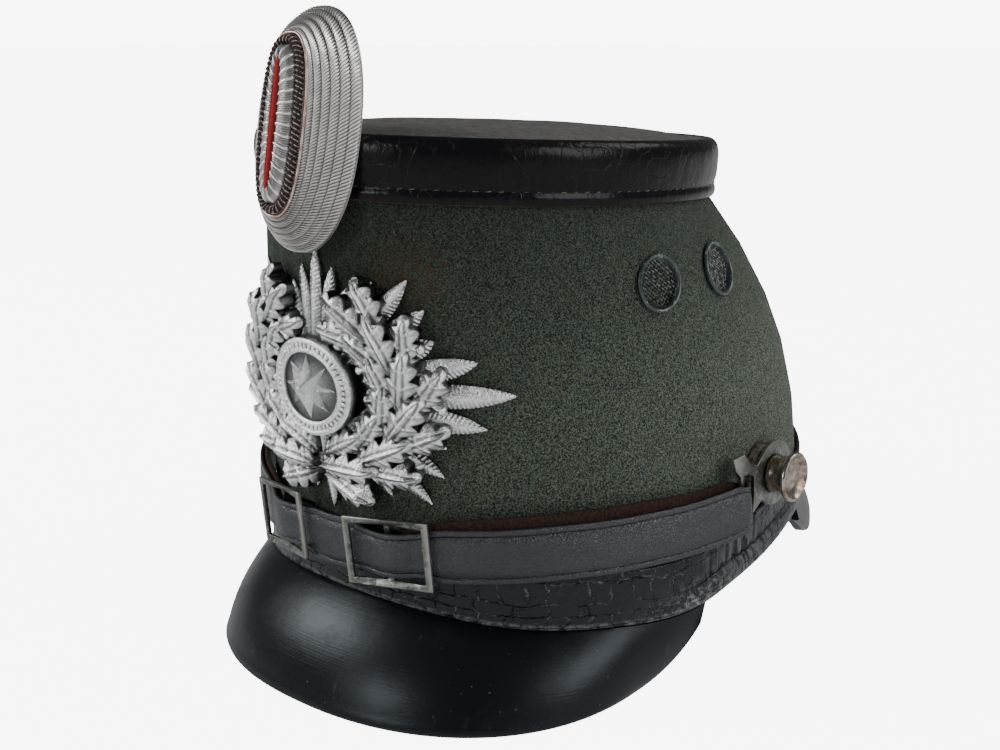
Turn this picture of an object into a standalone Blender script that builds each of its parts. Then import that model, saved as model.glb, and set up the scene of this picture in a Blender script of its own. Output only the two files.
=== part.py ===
"""A shako hat: felt body, leather crown and base band, two stiff peaks, chin strap, badge and cockade.

Metres, +Z up.  The hat faces -Y and stands on the lower edges of its peaks, on z = 0.
An angle on the hat starts at the middle of the front and grows towards +X.
"""

import math

import bmesh
import bpy
from mathutils import Matrix, Vector

GAP = 0.0003  # clearance between neighbouring pieces
SEGMENTS = 48  # facets round the hat

# Felt body
BODY_HALF_LENGTH = 0.103  # at the rim
BODY_HALF_WIDTH = 0.087
BODY_WALL = 0.0020
FRONT_LEAN = 0.0068  # the front leans forward as it rises
BACK_CURVE = 2.41  # how late the back turns in towards the crown
SIDE_CURVE = 2.45
FRONT_SWELL = 0.0030  # fuller than an oval at the rim, either side of the front
RIM_ROWS = (  # (y, height of the rim)
    (-0.104, 0.0302),
    (-0.084, 0.0250),
    (-0.064, 0.0228),
    (-0.035, 0.0212),
    (-0.012, 0.0258),
    (0.024, 0.0322),
    (0.060, 0.0345),
    (0.104, 0.0355),
)

# Crown
CROWN_HALF_LENGTH = 0.0794
CROWN_HALF_WIDTH = 0.0675
CROWN_CENTRE_Y = -0.0304
CROWN_HEIGHT = 0.1665  # upper edge, above the middle of the crown
CROWN_SLOPE = math.tan(math.radians(2.95))  # down towards the back
CROWN_BAND = 0.0188  # height of the turned-down edge
CROWN_OUTER_ROWS = (  # (growth beyond the crown's edge, height above it), from the lower edge up
    (0.0019, -0.0186),
    (0.0026, -0.0140),
    (0.0030, -0.0070),
    (0.0020, -0.0014),
    (0.0002, 0.0000),
    (-0.0024, -0.0004),
)
CROWN_TOP_ROWS = ((0.94, -0.0010), (0.78, 0.0012), (0.45, 0.0030))  # (scale, height)
CROWN_THICKNESS = 0.0020

# Base band
BAND_HEIGHT = 0.0185
BAND_THICKNESS = 0.0014
BEAD_THICKNESS = 0.0011  # extra thickness of the rolled edge behind the front peak
BEAD_START_Y = -0.040
BEAD_FULL_Y = -0.022

# Peaks
PEAK_THICKNESS = 0.0030
PEAK_SEAT = 0.0005  # clearance under the rim
FRONT_PEAK_CORNER = 74.5  # degrees from the front
FRONT_PEAK_HALF_WIDTH = 0.080
FRONT_PEAK_RIGHT = 0.915  # the peak is narrower on the wearer's right
FRONT_PEAK_CENTRE_Y = -0.057
FRONT_PEAK_TIP_Y = -0.1278
FRONT_PEAK_POWER = 2.25
FRONT_PEAK_BULGE = 0.0036
FRONT_PEAK_LIFT_SHARE = 0.80  # share of the edge, from the middle, that lies on the ground
FRONT_PEAK_RISE = (  # the edge's climb to the corner: (beyond the half width, behind the centre, height)
    (0.0000, 0.0000, 0.0000),
    (0.0005, 0.0140, 0.0000),
    (0.0030, 0.0245, 0.0060),
    (0.0062, 0.0265, 0.0155),
)
REAR_PEAK_CORNER = 67.0  # degrees from the back
REAR_PEAK_HALF_WIDTH = 0.078
REAR_PEAK_CENTRE_Y = 0.040
REAR_PEAK_TIP_Y = 0.1278
REAR_PEAK_POWER = 1.9
REAR_PEAK_BULGE = 0.0040

# Ventilation eyelets: (angle in degrees, height)
VENTS = {"front": (76.2, 0.1255), "back": (96.8, 0.1259)}
VENT_RADIUS = 0.0088
VENT_BORE = 0.0076
VENT_BARREL = 0.0080

# Chin strap and its fittings
STRAP_WIDTH = 0.0170
STRAP_NECK = 0.0138  # width where it is squeezed into a buckle
STRAP_THICKNESS = 0.0013
STRAP_Z_ROWS = (  # (angle in degrees, height of the strap's middle)
    (0.0, 0.0470),
    (15.0, 0.0476),
    (30.0, 0.0488),
    (45.0, 0.0497),
    (58.0, 0.0500),
    (70.0, 0.0503),
    (82.2, 0.0519),
    (90.0, 0.0530),
)
BUCKLE_ANGLE = 14.5
BUCKLE_LENGTH = 0.0290
BUCKLE_HEIGHT = 0.0217
BUCKLE_ROWS = {"left": (0.0003, 4.0), "right": (0.0003, 6.0)}  # (lift, turn in degrees)
BUCKLE_BAR = 0.0021
BUCKLE_OUT = 0.0055
FOLD_ANGLE = 82.2  # degrees; the middle of the hook's bar
FOLD_RADIUS = 0.0022
INNER_LAYER = 0.0030  # distance of the strap's middle from the felt
OUTER_LAYER = 0.0047
INNER_LIFT_ROWS = (  # (angle in degrees, lift above the outer layer) of the inner layer
    (17.0, 0.0),
    (30.0, 0.0026),
    (60.0, 0.0034),
    (76.0, 0.0016),
    (FOLD_ANGLE, 0.0),
)
OUTER_ROWS = (  # (angle in degrees, distance from the felt) of the outer layer
    (0.0, 0.0046),
    (3.0, 0.0046),
    (6.5, 0.0046),
    (9.5, 0.0052),
    (12.5, 0.0067),
    (14.5, 0.0071),
    (16.5, 0.0067),
    (19.5, 0.0052),
    (23.0, 0.0047),
    (30.0, OUTER_LAYER),
    (66.0, OUTER_LAYER),
    (74.0, 0.0056),
    (FOLD_ANGLE, INNER_LAYER + 2 * FOLD_RADIUS),
)
FITTING_ANGLE = 88.0  # the fittings' plane touches the felt here
FITTING_Z = 0.0585
KNOB_SETBACK = 0.0081  # from that line back to the knob

# Badge: flat drawing coordinates are wrapped round the front, one radian to BADGE_TURN
BADGE_TURN = 0.084
BADGE_STEP = 0.015
BADGE_CUTS = 4
BADGE_SEAT = 0.0007  # clearance behind the badge
BADGE_CENTRE_Z = 0.0970
BURST_HALF_WIDTH = 0.0600
BURST_HALF_HEIGHT = 0.0405
BURST_RAYS = 32
BURST_REACH = (1.0, 0.88, 0.76, 0.88)  # length of each ray in a group of four
BURST_NOTCH = 0.11  # the notch between two rays, short of the shorter ray
BURST_INNER_ROWS = ((0.58, 0.0042, 0.0026), (0.30, 0.0052, 0.0040))  # (share, height of ridge, of valley)
BURST_TIP = (0.0013, 0.0008)  # height of a ray's tip and of a notch
WREATH_HALF_WIDTH = 0.0275
WREATH_HALF_HEIGHT = 0.0225
WREATH_TURN = math.radians(150)
WREATH_CLUSTERS = 5
WREATH_LEAF_ROWS = (  # (swing, length, width, height)
    (0.0, 0.0180, 0.0076, 0.0092),
    (0.62, 0.0140, 0.0068, 0.0078),
    (-0.62, 0.0140, 0.0068, 0.0080),
)
BOSS_RADIUS = 0.0145
BOSS_FOOT = 0.0030
BOSS_TOP = 0.0086
BOSS_LIP = 0.0098
STAR_POINTS = 8
STAR_REACH = (0.0098, 0.0046)  # tips and notches
STAR_HEIGHTS = (0.0061, 0.0088, 0.0128)  # sunk foot, upper edge and apex

# Cockade, an oval dish that leans back
COCKADE_CENTRE = Vector((0.0, -0.1091, 0.1704))
COCKADE_LEAN = math.radians(10.8)
COCKADE_HALF_WIDTH = 0.0198
COCKADE_HALF_HEIGHT = 0.0346
INNER_HALF_WIDTH = 0.0070
INNER_HALF_HEIGHT = 0.0232
COCKADE_RISE = 0.0104
COCKADE_TOP = COCKADE_RISE + 0.0008  # level of the flat middle
COCKADE_BACK = 0.0030  # level of the back, sunk behind the rim so that the crown's edge fits in
COCKADE_BANDS = 5
SLOT_HALF_WIDTH = 0.0013
SLOT_HALF_HEIGHT = 0.0182
SLOT_FLOOR = 0.0022
COCKADE_SEGMENTS = 28


# ---------------------------------------------------------------- shared tools


def clear_scene():
    for obj in list(bpy.data.objects):
        bpy.data.objects.remove(obj, do_unlink=True)


def make_material(name, color, roughness, metallic=0.0):
    material = bpy.data.materials.new(name)
    material.use_nodes = True
    shader = material.node_tree.nodes["Principled BSDF"]
    shader.inputs["Base Color"].default_value = (*color, 1.0)
    shader.inputs["Roughness"].default_value = roughness
    shader.inputs["Metallic"].default_value = metallic
    return material


def smooth_step(value):
    value = min(max(value, 0.0), 1.0)
    return value * value * (3.0 - 2.0 * value)


def smooth_rows(rows, x):
    """Reads a smooth curve through rows of (x, value)."""
    last = len(rows) - 1
    if x <= rows[0][0]:
        return rows[0][1]
    if x >= rows[last][0]:
        return rows[last][1]
    i = next(k for k in range(last) if x <= rows[k + 1][0])

    def slope(k):
        low, high = max(k - 1, 0), min(k + 1, last)
        return (rows[high][1] - rows[low][1]) / (rows[high][0] - rows[low][0])

    span = rows[i + 1][0] - rows[i][0]
    u = (x - rows[i][0]) / span
    start = (1 + 2 * u) * (1 - u) ** 2 * rows[i][1] + u * (1 - u) ** 2 * span * slope(i)
    end = u * u * (3 - 2 * u) * rows[i + 1][1] + u * u * (u - 1) * span * slope(i + 1)
    return start + end


def signed_power(value, power):
    return math.copysign(abs(value) ** power, value)


def skin(loops, closed=False):
    """Joins a chain of equal loops into one closed surface.  A loop of one point is a pole."""
    bm = bmesh.new()
    rows = [[bm.verts.new(point) for point in loop] for loop in loops]
    pairs = list(zip(rows, rows[1:]))
    if closed:
        pairs.append((rows[-1], rows[0]))
    for low, high in pairs:
        count = max(len(low), len(high))
        for i in range(count):
            j = (i + 1) % count
            corners = [low[i % len(low)], low[j % len(low)], high[j % len(high)], high[i % len(high)]]
            bm.faces.new(list(dict.fromkeys(corners)))
    if not closed:
        for row in (rows[0], rows[-1]):
            if len(row) > 2:
                bm.faces.new(row)
    return bm


def make_object(name, bm, material, angle=35.0):
    """Turns a closed bmesh into a named object with its faces pointing out."""
    bmesh.ops.recalc_face_normals(bm, faces=bm.faces)
    if bm.calc_volume(signed=True) < 0.0:
        bmesh.ops.reverse_faces(bm, faces=bm.faces)
    mesh = bpy.data.meshes.new(name)
    bm.to_mesh(mesh)
    bm.free()
    mesh.shade_smooth()
    mesh.set_sharp_from_angle(angle=math.radians(angle))
    mesh.materials.append(material)
    obj = bpy.data.objects.new(name, mesh)
    bpy.context.scene.collection.objects.link(obj)
    return obj


def hide_tool(obj):
    obj.hide_render = True
    obj.display_type = "WIRE"
    return obj


def cut(obj, tool, operation="DIFFERENCE"):
    modifier = obj.modifiers.new(tool.name, "BOOLEAN")
    modifier.object = tool
    modifier.operation = operation
    modifier.solver = "EXACT"


def turned(profile, frame, segments):
    """Loops of a turned piece; the profile holds (radius, distance along the frame's Z)."""
    loops = []
    for radius, along in profile:
        if radius == 0.0:
            loops.append([frame @ Vector((0.0, 0.0, along))])
            continue
        turns = [2 * math.pi * k / segments for k in range(segments)]
        loops.append([frame @ Vector((radius * math.cos(a), radius * math.sin(a), along)) for a in turns])
    return loops


# ---------------------------------------------------------------- the hat's surface


def rim_height(y):
    return smooth_rows(RIM_ROWS, y)


def crown_plane(y):
    return CROWN_HEIGHT - (y - CROWN_CENTRE_Y) * CROWN_SLOPE


def wall_point(angle, level):
    """Point on the outside of the body; level 0 is the rim and 1 the crown's lower edge."""
    up = min(level, 1.0)
    crown_back = CROWN_CENTRE_Y + CROWN_HALF_LENGTH
    back = BODY_HALF_LENGTH + (crown_back - BODY_HALF_LENGTH) * up**BACK_CURVE
    front = -BODY_HALF_LENGTH - FRONT_LEAN * up
    half_width = BODY_HALF_WIDTH + (CROWN_HALF_WIDTH - BODY_HALF_WIDTH) * up**SIDE_CURVE
    y = (back + front) / 2 - (back - front) / 2 * math.cos(angle)
    z = rim_height(y) * (1 - level) + (crown_plane(y) - CROWN_BAND) * level
    swell = FRONT_SWELL * (1 - up) ** 3 * math.sin(2 * angle) ** 2 if math.cos(angle) > 0 else 0.0
    return Vector(((half_width + swell) * math.sin(angle), y - swell * math.cos(angle), z))


def wall_normal(angle, level):
    step = 0.01
    across = wall_point(angle + step, level) - wall_point(angle - step, level)
    low = min(max(level - step, 0.0), 1.0 - 2 * step)
    upward = wall_point(angle, low + 2 * step) - wall_point(angle, low)
    return across.cross(upward).normalized()


def level_at(angle, z):
    low, high = 0.0, 1.2
    for _ in range(30):
        middle = (low + high) / 2
        if wall_point(angle, middle).z < z:
            low = middle
        else:
            high = middle
    return (low + high) / 2


def off_wall(angle, z, out):
    """Point at this angle and height, moved out from the felt."""
    level = level_at(angle, z)
    return wall_point(angle, level) + wall_normal(angle, level) * out


def wall_frame(angle, z):
    """Frame on the felt: Z points out, Y up the wall, X across."""
    level = level_at(angle, z)
    out = wall_normal(angle, level)
    across = out.cross(Vector((0.0, 0.0, -1.0))).normalized()
    upward = out.cross(across).normalized()
    frame = Matrix((across, upward, out)).transposed().to_4x4()
    frame.translation = wall_point(angle, level)
    return frame


def round_angles(count=SEGMENTS):
    return [2 * math.pi * k / count for k in range(count)]


# ---------------------------------------------------------------- felt body, crown and band


def make_body(felt):
    levels = (0.0, 0.15, 0.34, 0.52, 0.68, 0.85, 1.0, 1.115)
    outer = [[wall_point(a, level) for a in round_angles()] for level in levels]
    inner = [
        [wall_point(a, level) - wall_normal(a, level) * BODY_WALL for a in round_angles()]
        for level in reversed(levels)
    ]
    body = make_object("body", skin(outer + inner, closed=True), felt)
    for side, sign in (("left", 1), ("right", -1)):
        for place, (angle, height) in VENTS.items():
            frame = wall_frame(sign * math.radians(angle), height)
            radius = VENT_BARREL + GAP
            loops = turned(((radius, -2 * BODY_WALL), (radius, BODY_WALL)), frame, 14)
            tool = hide_tool(make_object(f"tool_vent_{side}_{place}", skin(loops), felt))
            cut(body, tool)
    return body


def crown_ring(scale, grow, height):
    half_width = CROWN_HALF_WIDTH * scale + grow
    half_length = CROWN_HALF_LENGTH * scale + grow
    ring = []
    for angle in round_angles():
        y = CROWN_CENTRE_Y - half_length * math.cos(angle)
        ring.append(Vector((half_width * math.sin(angle), y, crown_plane(y) + height)))
    return ring


def make_crown(leather):
    under = -0.0006 - CROWN_THICKNESS
    middle = Vector((0.0, CROWN_CENTRE_Y, CROWN_HEIGHT))
    _, (dome_scale, dome_height), (_, top_height) = CROWN_TOP_ROWS
    loops = [[middle + Vector((0.0, 0.0, top_height - CROWN_THICKNESS))]]
    loops.append(crown_ring(dome_scale, 0.0, dome_height - CROWN_THICKNESS))
    loops.append(crown_ring(1.0, GAP, under))
    loops.append(crown_ring(1.0, GAP, CROWN_OUTER_ROWS[0][1]))
    loops += [crown_ring(1.0, grow, height) for grow, height in CROWN_OUTER_ROWS]
    loops += [crown_ring(scale, 0.0, height) for scale, height in CROWN_TOP_ROWS]
    loops.append([middle + Vector((0.0, 0.0, top_height))])
    return make_object("crown", skin(loops), leather)


def band_ring(height, out, bead=0.0):
    ring = []
    for angle in round_angles():
        foot = wall_point(angle, 0.0)
        share = smooth_step((foot.y - BEAD_START_Y) / (BEAD_FULL_Y - BEAD_START_Y))
        ring.append(off_wall(angle, foot.z + height, out + bead * share))
    return ring


def make_base_band(leather):
    inside = GAP
    outside = GAP + BAND_THICKNESS
    bead = BEAD_THICKNESS
    loops = [
        band_ring(0.0, inside),
        band_ring(BAND_HEIGHT, inside),
        band_ring(BAND_HEIGHT, outside),
        band_ring(0.0070, outside),
        band_ring(0.0048, outside, bead),
        band_ring(0.0018, outside, bead),
        band_ring(0.0, outside, 0.3 * bead),
    ]
    return make_object("base_band", skin(loops, closed=True), leather)


# ---------------------------------------------------------------- peaks


def front_edge(share):
    """Lower outer edge of the front peak; share 0 is the middle and 1 the corner."""
    half_width, centre = FRONT_PEAK_HALF_WIDTH, FRONT_PEAK_CENTRE_Y
    if share <= FRONT_PEAK_LIFT_SHARE:
        angle = share / FRONT_PEAK_LIFT_SHARE * math.pi / 2
        power = 2 / FRONT_PEAK_POWER
        x = half_width * signed_power(math.sin(angle), power)
        y = centre + (FRONT_PEAK_TIP_Y - centre) * abs(math.cos(angle)) ** power
        return Vector((x, y, 0.0))
    u = (share - FRONT_PEAK_LIFT_SHARE) / (1 - FRONT_PEAK_LIFT_SHARE)
    weights = ((1 - u) ** 3, 3 * u * (1 - u) ** 2, 3 * u * u * (1 - u), u**3)
    climb = sum((Vector(row) * weight for row, weight in zip(FRONT_PEAK_RISE, weights)), Vector())
    return Vector((half_width, centre, 0.0)) + climb


def rear_edge(share):
    power = 2 / REAR_PEAK_POWER
    angle = share * math.pi / 2
    x = REAR_PEAK_HALF_WIDTH * signed_power(math.sin(angle), power)
    y = REAR_PEAK_CENTRE_Y + (REAR_PEAK_TIP_Y - REAR_PEAK_CENTRE_Y) * abs(math.cos(angle)) ** power
    return Vector((x + 0.006 * share**6, y, 0.45 * max(0.098 - y, 0.0) + 0.0025 * share**4))


def peak_section(root_angle, edge, bulge):
    """One slice of a peak, from the rim down to its edge and back up inside."""
    foot = wall_point(root_angle, 0.0)
    root = off_wall(root_angle, foot.z, GAP + BAND_THICKNESS)
    root.z = foot.z - PEAK_SEAT
    run = edge - root
    outward = wall_normal(root_angle, 0.0)
    outward = Vector((outward.x, outward.y, 0.0)).normalized()
    inward = -outward
    normal = (outward * -run.z + Vector((0, 0, 1)) * run.dot(outward)).normalized()
    depth = run.length
    fade = smooth_step((depth - 0.008) / 0.028)

    def arch(u):
        return normal * (4 * u * (1 - u) * bulge * fade)

    outer = [root + run * u + arch(u) for u in (0.0, 0.20, 0.42, 0.66, 0.90)]
    lip = [edge + Vector((0, 0, 0.0010)), edge + inward * 0.0009]
    inner_root = root + inward * PEAK_THICKNESS
    inner_edge = edge + inward * PEAK_THICKNESS
    inner_run = inner_edge + Vector((0, 0, 0.0006)) - inner_root
    inner = [inner_root + inner_run * u + arch(u) for u in (0.90, 0.62, 0.30, 0.0)]
    return outer + lip + [inner_edge] + inner


def make_front_peak(fibre):
    count = 32
    sections = []
    for k in range(count + 1):
        share = 2 * k / count - 1
        edge = front_edge(abs(share))
        edge.x = edge.x if share > 0 else -edge.x * FRONT_PEAK_RIGHT
        sections.append(peak_section(math.radians(FRONT_PEAK_CORNER) * share, edge, FRONT_PEAK_BULGE))
    return make_object("front_peak", skin(sections), fibre)


def make_rear_peak(fibre):
    count = 28
    sections = []
    for k in range(count + 1):
        share = 2 * k / count - 1
        edge = rear_edge(abs(share))
        edge.x = math.copysign(edge.x, -share)
        angle = math.pi + math.radians(REAR_PEAK_CORNER) * share
        sections.append(peak_section(angle, edge, REAR_PEAK_BULGE))
    return make_object("rear_peak", skin(sections), fibre)


# ---------------------------------------------------------------- ventilation eyelets


def make_vents(paint, gauze):
    ring = (
        (VENT_BORE, -0.0028),
        (VENT_BARREL, -0.0028),
        (VENT_BARREL, GAP),
        (VENT_RADIUS, GAP),
        (VENT_RADIUS - 0.0005, 0.0012),
        (VENT_BORE, 0.0010),
    )
    disc_radius = VENT_BORE - GAP
    disc = ((0.0, -0.0012), (disc_radius, -0.0016), (disc_radius, -0.0010), (0.0, -0.0004))
    for side, sign in (("left", 1), ("right", -1)):
        for place, (angle, height) in VENTS.items():
            frame = wall_frame(sign * math.radians(angle), height)
            make_object(f"vent_ring_{side}_{place}", skin(turned(ring, frame, 14), closed=True), paint)
            make_object(f"vent_mesh_{side}_{place}", skin(turned(disc, frame, 12)), gauze)


# ---------------------------------------------------------------- chin strap, buckles and side fittings


def strap_height(angle):
    return smooth_rows(STRAP_Z_ROWS, abs(math.degrees(angle)))


def strap_path():
    """Half of the strap's run, from under a buckle, round the hook, to the front: (angle, out, lift)."""
    path = []
    steps = 14
    for k in range(steps + 1):
        angle = 17.0 + (FOLD_ANGLE - 17.0) * k / steps
        path.append((math.radians(angle), INNER_LAYER, smooth_rows(INNER_LIFT_ROWS, angle)))
    for k in range(1, 5):
        turn = math.pi * k / 5 - math.pi / 2
        swing = FOLD_RADIUS * math.cos(turn) / BODY_HALF_LENGTH
        out = INNER_LAYER + FOLD_RADIUS + FOLD_RADIUS * math.sin(turn)
        path.append((math.radians(FOLD_ANGLE) + swing, out, 0.0))
    angle = FOLD_ANGLE
    while angle > 0.1:
        path.append((math.radians(angle), smooth_rows(OUTER_ROWS, angle), 0.0))
        angle -= 2.0 if 5.0 < angle < 24.0 else 4.4
    return path


def strap_section(before, here, after):
    def place(row, extra=0.0):
        return off_wall(row[0], strap_height(row[0]) + row[2] + extra, row[1])

    middle = place(here)
    along = (place(after) - place(before)).normalized()
    upward = place(here, 0.004) - middle
    upward = (upward - along * upward.dot(along)).normalized()
    out = along.cross(upward)
    squeeze = smooth_step(1.6 - abs(abs(math.degrees(here[0])) - BUCKLE_ANGLE) / 7.0)
    half = (STRAP_WIDTH + (STRAP_NECK - STRAP_WIDTH) * squeeze) / 2
    thick = STRAP_THICKNESS / 2
    corners = ((-1, -1), (1, -1), (1, 1), (-1, 1))
    return [middle + upward * (half * a) + out * (thick * b) for a, b in corners]


def make_chin_strap(leather):
    half = strap_path()
    mirrored = [(-angle, out, lift) for angle, out, lift in reversed(half)]
    path = half + [(0.0, OUTER_ROWS[0][1], 0.0)] + mirrored
    ends = [path[0]] + path + [path[-1]]
    sections = [strap_section(a, b, c) for a, b, c in zip(ends, ends[1:], ends[2:])]
    return make_object("chin_strap", skin(sections), leather)


def make_buckle(side, sign, metal):
    """A flat slide with two windows, cut from a plate, across the strap."""
    angle = sign * math.radians(BUCKLE_ANGLE)
    lift, turn = BUCKLE_ROWS[side]
    frame = wall_frame(angle, strap_height(angle) + lift)
    frame.translation += frame.to_3x3().col[2] * BUCKLE_OUT
    frame = frame @ Matrix.Rotation(math.radians(turn), 4, "Z")
    half_x, half_y, bar = BUCKLE_LENGTH / 2, BUCKLE_HEIGHT / 2, BUCKLE_BAR
    columns = (-half_x, -half_x + bar, -0.0010, 0.0010, half_x - bar, half_x)
    rows = (-half_y, -half_y + bar, half_y - bar, half_y)
    bm = bmesh.new()
    grid = [[bm.verts.new((x, y, 0.0)) for x in columns] for y in rows]
    windows = {(1, 1), (1, 3)}
    for j in range(len(rows) - 1):
        for i in range(len(columns) - 1):
            if (j, i) not in windows:
                bm.faces.new((grid[j][i], grid[j][i + 1], grid[j + 1][i + 1], grid[j + 1][i]))
    for vert in bm.verts:
        if abs(vert.co.x) < 0.002:
            vert.co.z = -0.0007 if abs(vert.co.y) < half_y - bar / 2 else 0.0
    faces = bmesh.ops.extrude_face_region(bm, geom=list(bm.faces))["geom"]
    raised = [item for item in faces if isinstance(item, bmesh.types.BMVert)]
    bmesh.ops.translate(bm, verts=raised, vec=(0.0, 0.0, 0.0014))
    for vert in raised:
        if abs(vert.co.x) < 0.002 and abs(vert.co.y) < half_y:
            vert.co.z -= 0.0007
    bm.transform(frame)
    return make_object(f"buckle_{side}", bm, metal, 20.0)


def hook_outline(sign):
    """Outline of the hook plate, in metres from the knob; X runs towards the front."""
    radius = 0.0108
    points = []
    for k in range(15):
        angle = math.radians(42 + 276 * k / 14)
        points.append((radius * math.cos(angle) - 0.0008, radius * math.sin(angle)))
    points += [
        (0.0130, -0.0102),
        (0.0122, -0.0040),
        (0.0120, 0.0020),
        (0.0150, 0.0035),
        (0.0182, 0.0035),
        (0.0168, -0.0145),
        (0.0187, -0.0145),
        (0.0201, 0.0035),
        (0.0228, 0.0060),
        (0.0240, 0.0104),
        (0.0178, 0.0106),
        (0.0140, 0.0064),
        (0.0100, 0.0052),
    ]
    return [(sign * x, y) for x, y in points]


def make_side_fittings(side, sign, brass, steel, leather):
    """Washer, hook and knob, stacked out from the felt."""
    frame = wall_frame(sign * math.radians(FITTING_ANGLE), FITTING_Z)
    frame = frame @ Matrix.Translation((sign * KNOB_SETBACK, 0.0, 0.0))
    washer_rows = ((0.0046, GAP), (0.0102, GAP), (0.0098, 0.0036), (0.0046, 0.0036))
    make_object(f"washer_{side}", skin(turned(washer_rows, frame, 14), closed=True), leather)

    low, high = 0.0041, 0.0055
    outline = hook_outline(-sign)
    if sign < 0:
        outline.reverse()
    loops = [[frame @ Vector((x, y, z)) for x, y in outline] for z in (low, high)]
    hook = make_object(f"strap_hook_{side}", skin(loops), steel, 20.0)
    eye = turned(((0.0062, 0.0), (0.0062, 0.0100)), frame, 16)
    cut(hook, hide_tool(make_object(f"tool_eye_{side}", skin(eye), steel)))

    knob_rows = (
        (0.0, GAP),
        (0.0042, GAP),
        (0.0042, high + GAP),
        (0.0064, high + GAP),
        (0.0060, 0.0086),
        (0.0078, 0.0122),
        (0.0081, 0.0131),
        (0.0074, 0.0137),
        (0.0044, 0.0119),
        (0.0, 0.0114),
    )
    make_object(f"knob_{side}", skin(turned(knob_rows, frame, 14)), brass)


# ---------------------------------------------------------------- badge
#
# The badge is drawn flat, X across the hat, Y up and Z proud, and is then wrapped round the front.


def leaf_loops(base, direction, length, width, low, high):
    """A pointed leaf with a raised middle."""
    along = Vector((math.cos(direction), math.sin(direction), 0.0))
    side = Vector((-along.y, along.x, 0.0))
    loops = []
    for share, spread in ((0.0, 0.26), (0.45, 0.50)):
        middle = base + along * (length * share)
        near, far = middle - side * (width * spread), middle + side * (width * spread)
        peak = high * (1.0 - 0.25 * share)
        edge = low + 0.45 * (peak - low)
        loops.append(
            [
                Vector((near.x, near.y, low)),
                Vector((far.x, far.y, low)),
                Vector((far.x, far.y, edge)),
                Vector((middle.x, middle.y, peak)),
                Vector((near.x, near.y, edge)),
            ]
        )
    tip = base + along * length
    loops.append([Vector((tip.x, tip.y, low + 0.3 * (high - low)))])
    return loops


def burst_loops():
    """A plate of narrow ridged rays that spread from the middle."""
    loops = [[], [], [], []]
    for k in range(2 * BURST_RAYS):
        angle = math.pi * k / BURST_RAYS
        on_ray = k % 2 == 0
        radius = 1.0 / math.hypot(math.sin(angle) / BURST_HALF_WIDTH, math.cos(angle) / BURST_HALF_HEIGHT)
        near = [BURST_REACH[(k // 2) % 4], BURST_REACH[((k + 1) // 2) % 4]]
        reach = near[0] if on_ray else min(near) - BURST_NOTCH
        rows = [(reach, 0.0), (reach, BURST_TIP[0 if on_ray else 1])]
        rows += [(share, ridge if on_ray else valley) for share, ridge, valley in BURST_INNER_ROWS]
        for loop, (share, proud) in zip(loops, rows):
            x = radius * share * math.sin(angle)
            loop.append(Vector((x, BADGE_CENTRE_Z + radius * share * math.cos(angle), proud)))
    return loops


def wreath_point(turn):
    """Middle of the wreath; turn 0 is the bottom and grows up either side."""
    z = BADGE_CENTRE_Z - WREATH_HALF_HEIGHT * math.cos(turn)
    return Vector((WREATH_HALF_WIDTH * math.sin(turn), z, 0.0))


def wreath_leaves():
    """Clusters of three leaves that point up both sides of the wreath."""
    parts = []
    for sign in (1, -1):
        for k in range(WREATH_CLUSTERS):
            turn = sign * WREATH_TURN * (k + 0.25) / WREATH_CLUSTERS
            here = wreath_point(turn)
            ahead = wreath_point(turn + sign * 0.05) - here
            direction = math.atan2(ahead.y, ahead.x)
            low = 0.0016 + 0.00007 * (k % 2)
            for number, (swing, length, width, high) in enumerate(WREATH_LEAF_ROWS):
                level = low + 0.00012 * number
                parts.append(leaf_loops(here, direction + swing, length, width, level, high))
    return parts


def star_loops():
    """Faceted star on the boss."""
    low, high, apex = STAR_HEIGHTS
    foot, top = [], []
    for k in range(2 * STAR_POINTS):
        angle = math.pi * k / STAR_POINTS
        reach = STAR_REACH[k % 2]
        x, y = reach * math.sin(angle), BADGE_CENTRE_Z + reach * math.cos(angle)
        foot.append(Vector((x, y, low)))
        top.append(Vector((x, y, high)))
    return [foot, top, [Vector((0.0, BADGE_CENTRE_Z, apex))]]


def boss_loops():
    middle = Matrix.Translation((0.0, BADGE_CENTRE_Z, 0.0))
    rows = (
        (0.0, BOSS_FOOT),
        (BOSS_RADIUS, BOSS_FOOT),
        (BOSS_RADIUS, BOSS_LIP - 0.0008),
        (BOSS_RADIUS - 0.0012, BOSS_LIP),
        (BOSS_RADIUS - 0.0026, BOSS_TOP),
        (0.0, BOSS_TOP),
    )
    return turned(rows, middle, 18)


def wrap_badge(mesh, metal):
    """Lays the flat drawing round the front of the body."""
    bm = bmesh.new()
    bm.from_mesh(mesh)
    bmesh.ops.dissolve_limit(bm, angle_limit=0.01, verts=bm.verts, edges=bm.edges)
    for k in range(-BADGE_CUTS, BADGE_CUTS + 1):
        everything = list(bm.verts) + list(bm.edges) + list(bm.faces)
        plane = Vector((k * BADGE_STEP, 0.0, 0.0))
        bmesh.ops.bisect_plane(bm, geom=everything, plane_co=plane, plane_no=(1, 0, 0), dist=1e-6)
    for vert in bm.verts:
        x, z, proud = vert.co
        vert.co = off_wall(x / BADGE_TURN, z, proud + BADGE_SEAT)
    return make_object("badge", bm, metal, 25.0)


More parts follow.
